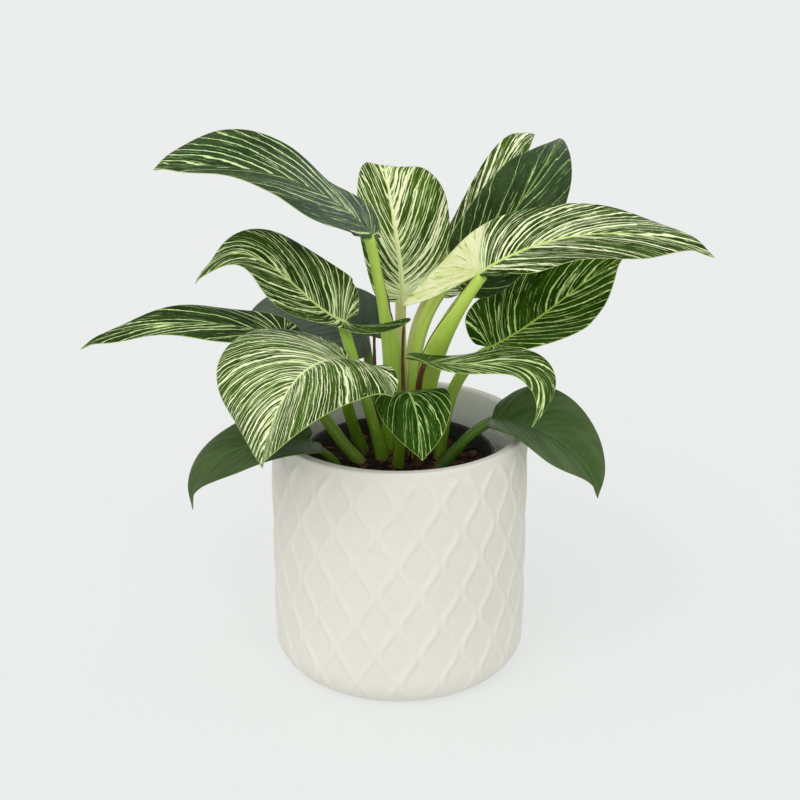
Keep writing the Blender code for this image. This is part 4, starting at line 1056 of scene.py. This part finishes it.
def grow_wall_radius(height):
    share = (height - POT_FLOOR) / (GROW_TOP - POT_FLOOR)
    return GROW_FOOT_RADIUS + (GROW_BODY_TOP_RADIUS - GROW_FOOT_RADIUS) * share


def build_grow_pot(material):
    """Thin black pot with a stepped, rounded lip."""
    foot, rim, top = GROW_FOOT_RADIUS, GROW_RIM_RADIUS, GROW_TOP
    bottom = POT_FLOOR + GAP
    lip = top - GROW_LIP
    floor_top = bottom + GROW_FLOOR
    profile = [(8.0, bottom + 0.4), (foot - 3.0, bottom + 0.2), (foot - 1.0, bottom + 0.4), (foot, bottom + 2.0)]
    for share in np.linspace(0.1, 1.0, 12):
        height = bottom + 2.0 + (lip - 1.0 - bottom - 2.0) * share
        profile.append((grow_wall_radius(height), height))
    profile += [(grow_wall_radius(lip) + 0.4, lip - 0.2), (rim - 0.7, lip + 0.1), (rim - 0.1, lip + 0.7),
                (rim, lip + 1.6), (rim, top - 2.0), (rim - 0.05, top - 0.8), (rim - 0.4, top - 0.2),
                (rim - 0.9, top), (rim - 1.4, top - 0.15), (rim - 1.8, top - 0.6)]
    within = [(1.6, top, -2.4), (0.4, lip, 0.6), (0.0, lip, -0.4), (0.0, 120.0, 0.0), (0.0, 80.0, 0.0),
              (0.0, 40.0, 0.0), (0.0, floor_top + 3.0, 0.0), (-1.5, floor_top, 0.0)]
    profile += [(grow_wall_radius(at) - GROW_WALL + out, at + up) for out, at, up in within]
    profile.append((8.0, floor_top))
    sides = 180
    rad = turns(sides)
    corners = [np.stack([radius * np.cos(rad), radius * np.sin(rad), np.full(sides, height)], axis=-1)
               for radius, height in profile]
    add_piece("grow_pot_plastic_skin", "grow_pot", np.concatenate(corners),
              tube_faces(len(profile), sides), [material])


def plastic_material():
    g = Graph("black_plastic")
    dust = g.noise(g.spot(), 0.12, 4.0, 0.65)
    upright = g.add("VectorMath", {0: g.spot(), 1: (0.3, 0.3, 2.4)}, operation="MULTIPLY")
    scuff = g.noise(upright, 0.7, 3.0)
    g.colour = g.mix(g.step(dust, 0.48, 0.72) * 0.5, (0.0075, 0.0070, 0.0066), (0.030, 0.024, 0.019))
    return g.finish(g.spread(scuff, 0.42, 0.62), 0.45, dust + scuff * 0.4, 0.0003, 0.35)


def soil_height(x, y):
    reach = math.hypot(x, y) / GROW_BODY_TOP_RADIUS
    crumbs = rough_at(x * 0.11, y * 0.11, 3.7) + 0.6 * rough_at(x * 0.27, y * 0.27, 9.1)
    return SOIL_TOP - SOIL_FALL * reach * reach + SOIL_ROUGH * crumbs


def chip_shell():
    """Corners and faces of a cube with four faces on each side, which the chips are rounded from."""
    ball = [p for p in product((-1, 0, 1), repeat=3) if any(p)]
    faces = []
    for axis, sign, u, v in product(range(3), (-1, 1), (-1, 0), (-1, 0)):
        around = [(sign, u, v), (sign, u + 1, v), (sign, u + 1, v + 1), (sign, u, v + 1)]
        quad = [ball.index(tuple(p[(i - axis) % 3] for i in range(3))) for p in around]
        faces.append(quad if sign > 0 else quad[::-1])
    return ball, faces


def add_chips(corners, faces, tone, edge):
    """Bark chips and crumbs lying on the soil, out to its edge."""
    dice = random.Random(41)
    ball, ball_faces = chip_shell()
    for _ in range(CHIPS):
        radius = (edge - 3.5) * math.sqrt(dice.random())
        a = dice.uniform(0.0, 2.0 * math.pi)
        x, y = radius * math.cos(a), radius * math.sin(a)
        big = dice.random() ** 3.2
        size = 0.7 + 3.6 * big
        # Larger pieces lie at the back on the right
        if y > 18.0 and x > 8.0 and dice.random() < 0.12:
            size += 2.2
        spread = (size, size * dice.uniform(0.45, 0.8), size * dice.uniform(0.22, 0.45))
        yaw, pitch, roll = dice.uniform(0.0, 6.28), dice.uniform(-0.5, 0.5), dice.uniform(-0.5, 0.5)
        shade = min(1.0, 0.25 + 0.5 * dice.random() + 0.35 * big)
        z = soil_height(x, y) + 0.35 * spread[2]
        turned = Euler((roll, -pitch, yaw)).to_matrix()
        first = len(corners)
        for p in ball:
            push = 1.0 / math.sqrt(sum(c * c for c in p)) ** 0.55 * dice.uniform(0.82, 1.12)
            shift = turned @ Vector([c * push * s for c, s in zip(p, spread)])
            corners.append((x + shift[0], y + shift[1], z + shift[2]))
            tone.append(shade)
        faces.extend([first + i for i in face] for face in ball_faces)


def build_soil(material):
    """Crumbly surface with bark chips lying in it."""
    sides, rings = 200, 62
    edge = grow_wall_radius(SOIL_TOP - SOIL_FALL) - GROW_WALL - 0.2
    rad = turns(sides)
    corners = [(0.0, 0.0, soil_height(0.0, 0.0))]
    tone = [0.4]
    for i in range(1, rings + 1):
        radius = edge * (i / rings) ** 0.9
        fade = 1.0 - float(eased(radius, edge - 2.0, edge))
        for x, y in zip(radius * np.cos(rad), radius * np.sin(rad)):
            rough = 0.75 * rough_at(x * 0.55, y * 0.55, 1.3) + 0.5 * rough_at(x * 1.2, y * 1.2, 5.3)
            rough += 0.9 * max(0.0, rough_at(x * 0.8, y * 0.8, 20.0) - 0.1)
            corners.append((x, y, soil_height(x, y) + rough * fade))
            tone.append(0.35 + 0.3 * rough_at(x * 0.4, y * 0.4, 8.0))
    low = POT_FLOOR + GAP + GROW_FLOOR + GAP
    for height in (low + 100.0, low):
        radius = grow_wall_radius(height) - GROW_WALL - 0.4
        corners += [(x, y, height) for x, y in zip(radius * np.cos(rad), radius * np.sin(rad))]
        tone += [0.3] * sides
    faces = [(0, 1 + j, 1 + (j + 1) % sides) for j in range(sides)]
    for i in range(rings + 1):
        a, b = 1 + i * sides, 1 + (i + 1) * sides
        faces += [(a + j, b + j, b + (j + 1) % sides, a + (j + 1) % sides) for j in range(sides)]
    faces.append(tuple(reversed(range(b, b + sides))))
    add_chips(corners, faces, tone, edge)
    add_piece("potting_mix_crumbs", "potting_mix", corners, faces, [material], {"tone": tone})


def soil_material():
    g = Graph("bark_and_peat")
    grain = g.noise(g.spot(), 0.9, 4.0, 0.65)
    fine = g.noise(g.spot(), 3.2, 3.0, 0.6)
    dark = g.mix(g.step(grain, 0.35, 0.65), (0.0095, 0.0048, 0.0026), (0.042, 0.022, 0.012))
    bark = g.mix(g.step(grain, 0.3, 0.7), (0.070, 0.024, 0.012), (0.23, 0.095, 0.050))
    g.colour = g.mix(g.step(g.attr("tone"), 0.55, 0.95), dark, bark)
    g.coat(g.step(g.cells(g.spot(), 0.45), 0.13, 0.06) * 0.45, (0.16, 0.11, 0.06))
    return g.finish(g.spread(fine, 0.8, 0.98), 0.3, grain + fine * 0.5, 0.0012, 0.9)


# Stage

def point(item, place, aim):
    """Set a lamp or camera at a place, looking along aim."""
    item.location = place
    item.rotation_mode = "QUATERNION"
    item.rotation_quaternion = Vector(aim).to_track_quat("-Z", "Y")


def build_stage():
    """Pale floor that glows a little, but hardly under the pot, where the fall in glow is a painted contact shadow;
    soft light from all sides.
    """
    far = FLOOR_REACH
    mesh = bpy.data.meshes.new("floor")
    mesh.from_pydata([(-far, -far, 0.0), (far, -far, 0.0), (far, far, 0.0), (-far, far, 0.0)], [], [(0, 1, 2, 3)])
    g = Graph("pale_floor")
    g.colour = g.mix(g.noise(g.spot(), 0.002, 2.0), (0.237, 0.243, 0.240), (0.241, 0.247, 0.244))
    away = g.add("VectorMath", {0: g.spot()}, "Value", operation="LENGTH")
    foot = POT_RADIUS - FOOT_REACH
    g.put(g.shader.inputs["Emission Color"], (0.98, 1.0, 0.99))
    # Painted contact shadow: the glow drops to 0.16 of its strength under and close round the pot's foot
    g.put(g.shader.inputs["Emission Strength"],
          g.spread(g.step(away, foot - 1.5, foot + 5.0), 0.16, 1.0) * FLOOR_GLOW)
    mesh.materials.append(g.finish(0.9, 0.0))
    put_in("floor", mesh)
    world = bpy.data.worlds.new("studio")
    world.use_nodes = True
    sky = world.node_tree.nodes["Background"].inputs
    sky["Color"].default_value = (0.99, 1.0, 0.997, 1.0)
    sky["Strength"].default_value = SKY_STRENGTH
    bpy.context.scene.world = world
    for name, strength, angle, aim in LAMPS:
        light = bpy.data.lights.new(name, "SUN")
        light.energy = strength
        light.angle = math.radians(angle)
        point(put_in(name, light), LAMP_AT, aim)
    bpy.context.scene.view_settings.view_transform = "Standard"


def build_camera():
    """The photo's view, from the front and a little above."""
    rise = math.radians(VIEW_RISE)
    data = bpy.data.cameras.new("camera")
    data.lens = LENS
    data.sensor_width = 36.0
    way = Vector((0.0, -math.cos(rise), math.sin(rise))) * VIEW_AWAY
    camera = put_in("camera", data)
    point(camera, Vector(VIEW_TARGET) + way, -way)
    bpy.context.scene.camera = camera


def main():
    build_camera()
    build_stage()
    build_cover_pot(pot_material())
    build_grow_pot(plastic_material())
    build_soil(soil_material())
    build_crown(crown_material())
    for name, leaf in LEAVES.items():
        build_stalk(name, leaf, stalk_material(name))
        build_blade(name, leaf, [top_material(name), under_material(name)])
    paper = sheath_material()
    for name, sheath in SHEATHS.items():
        build_sheath(name, sheath, paper)


main()
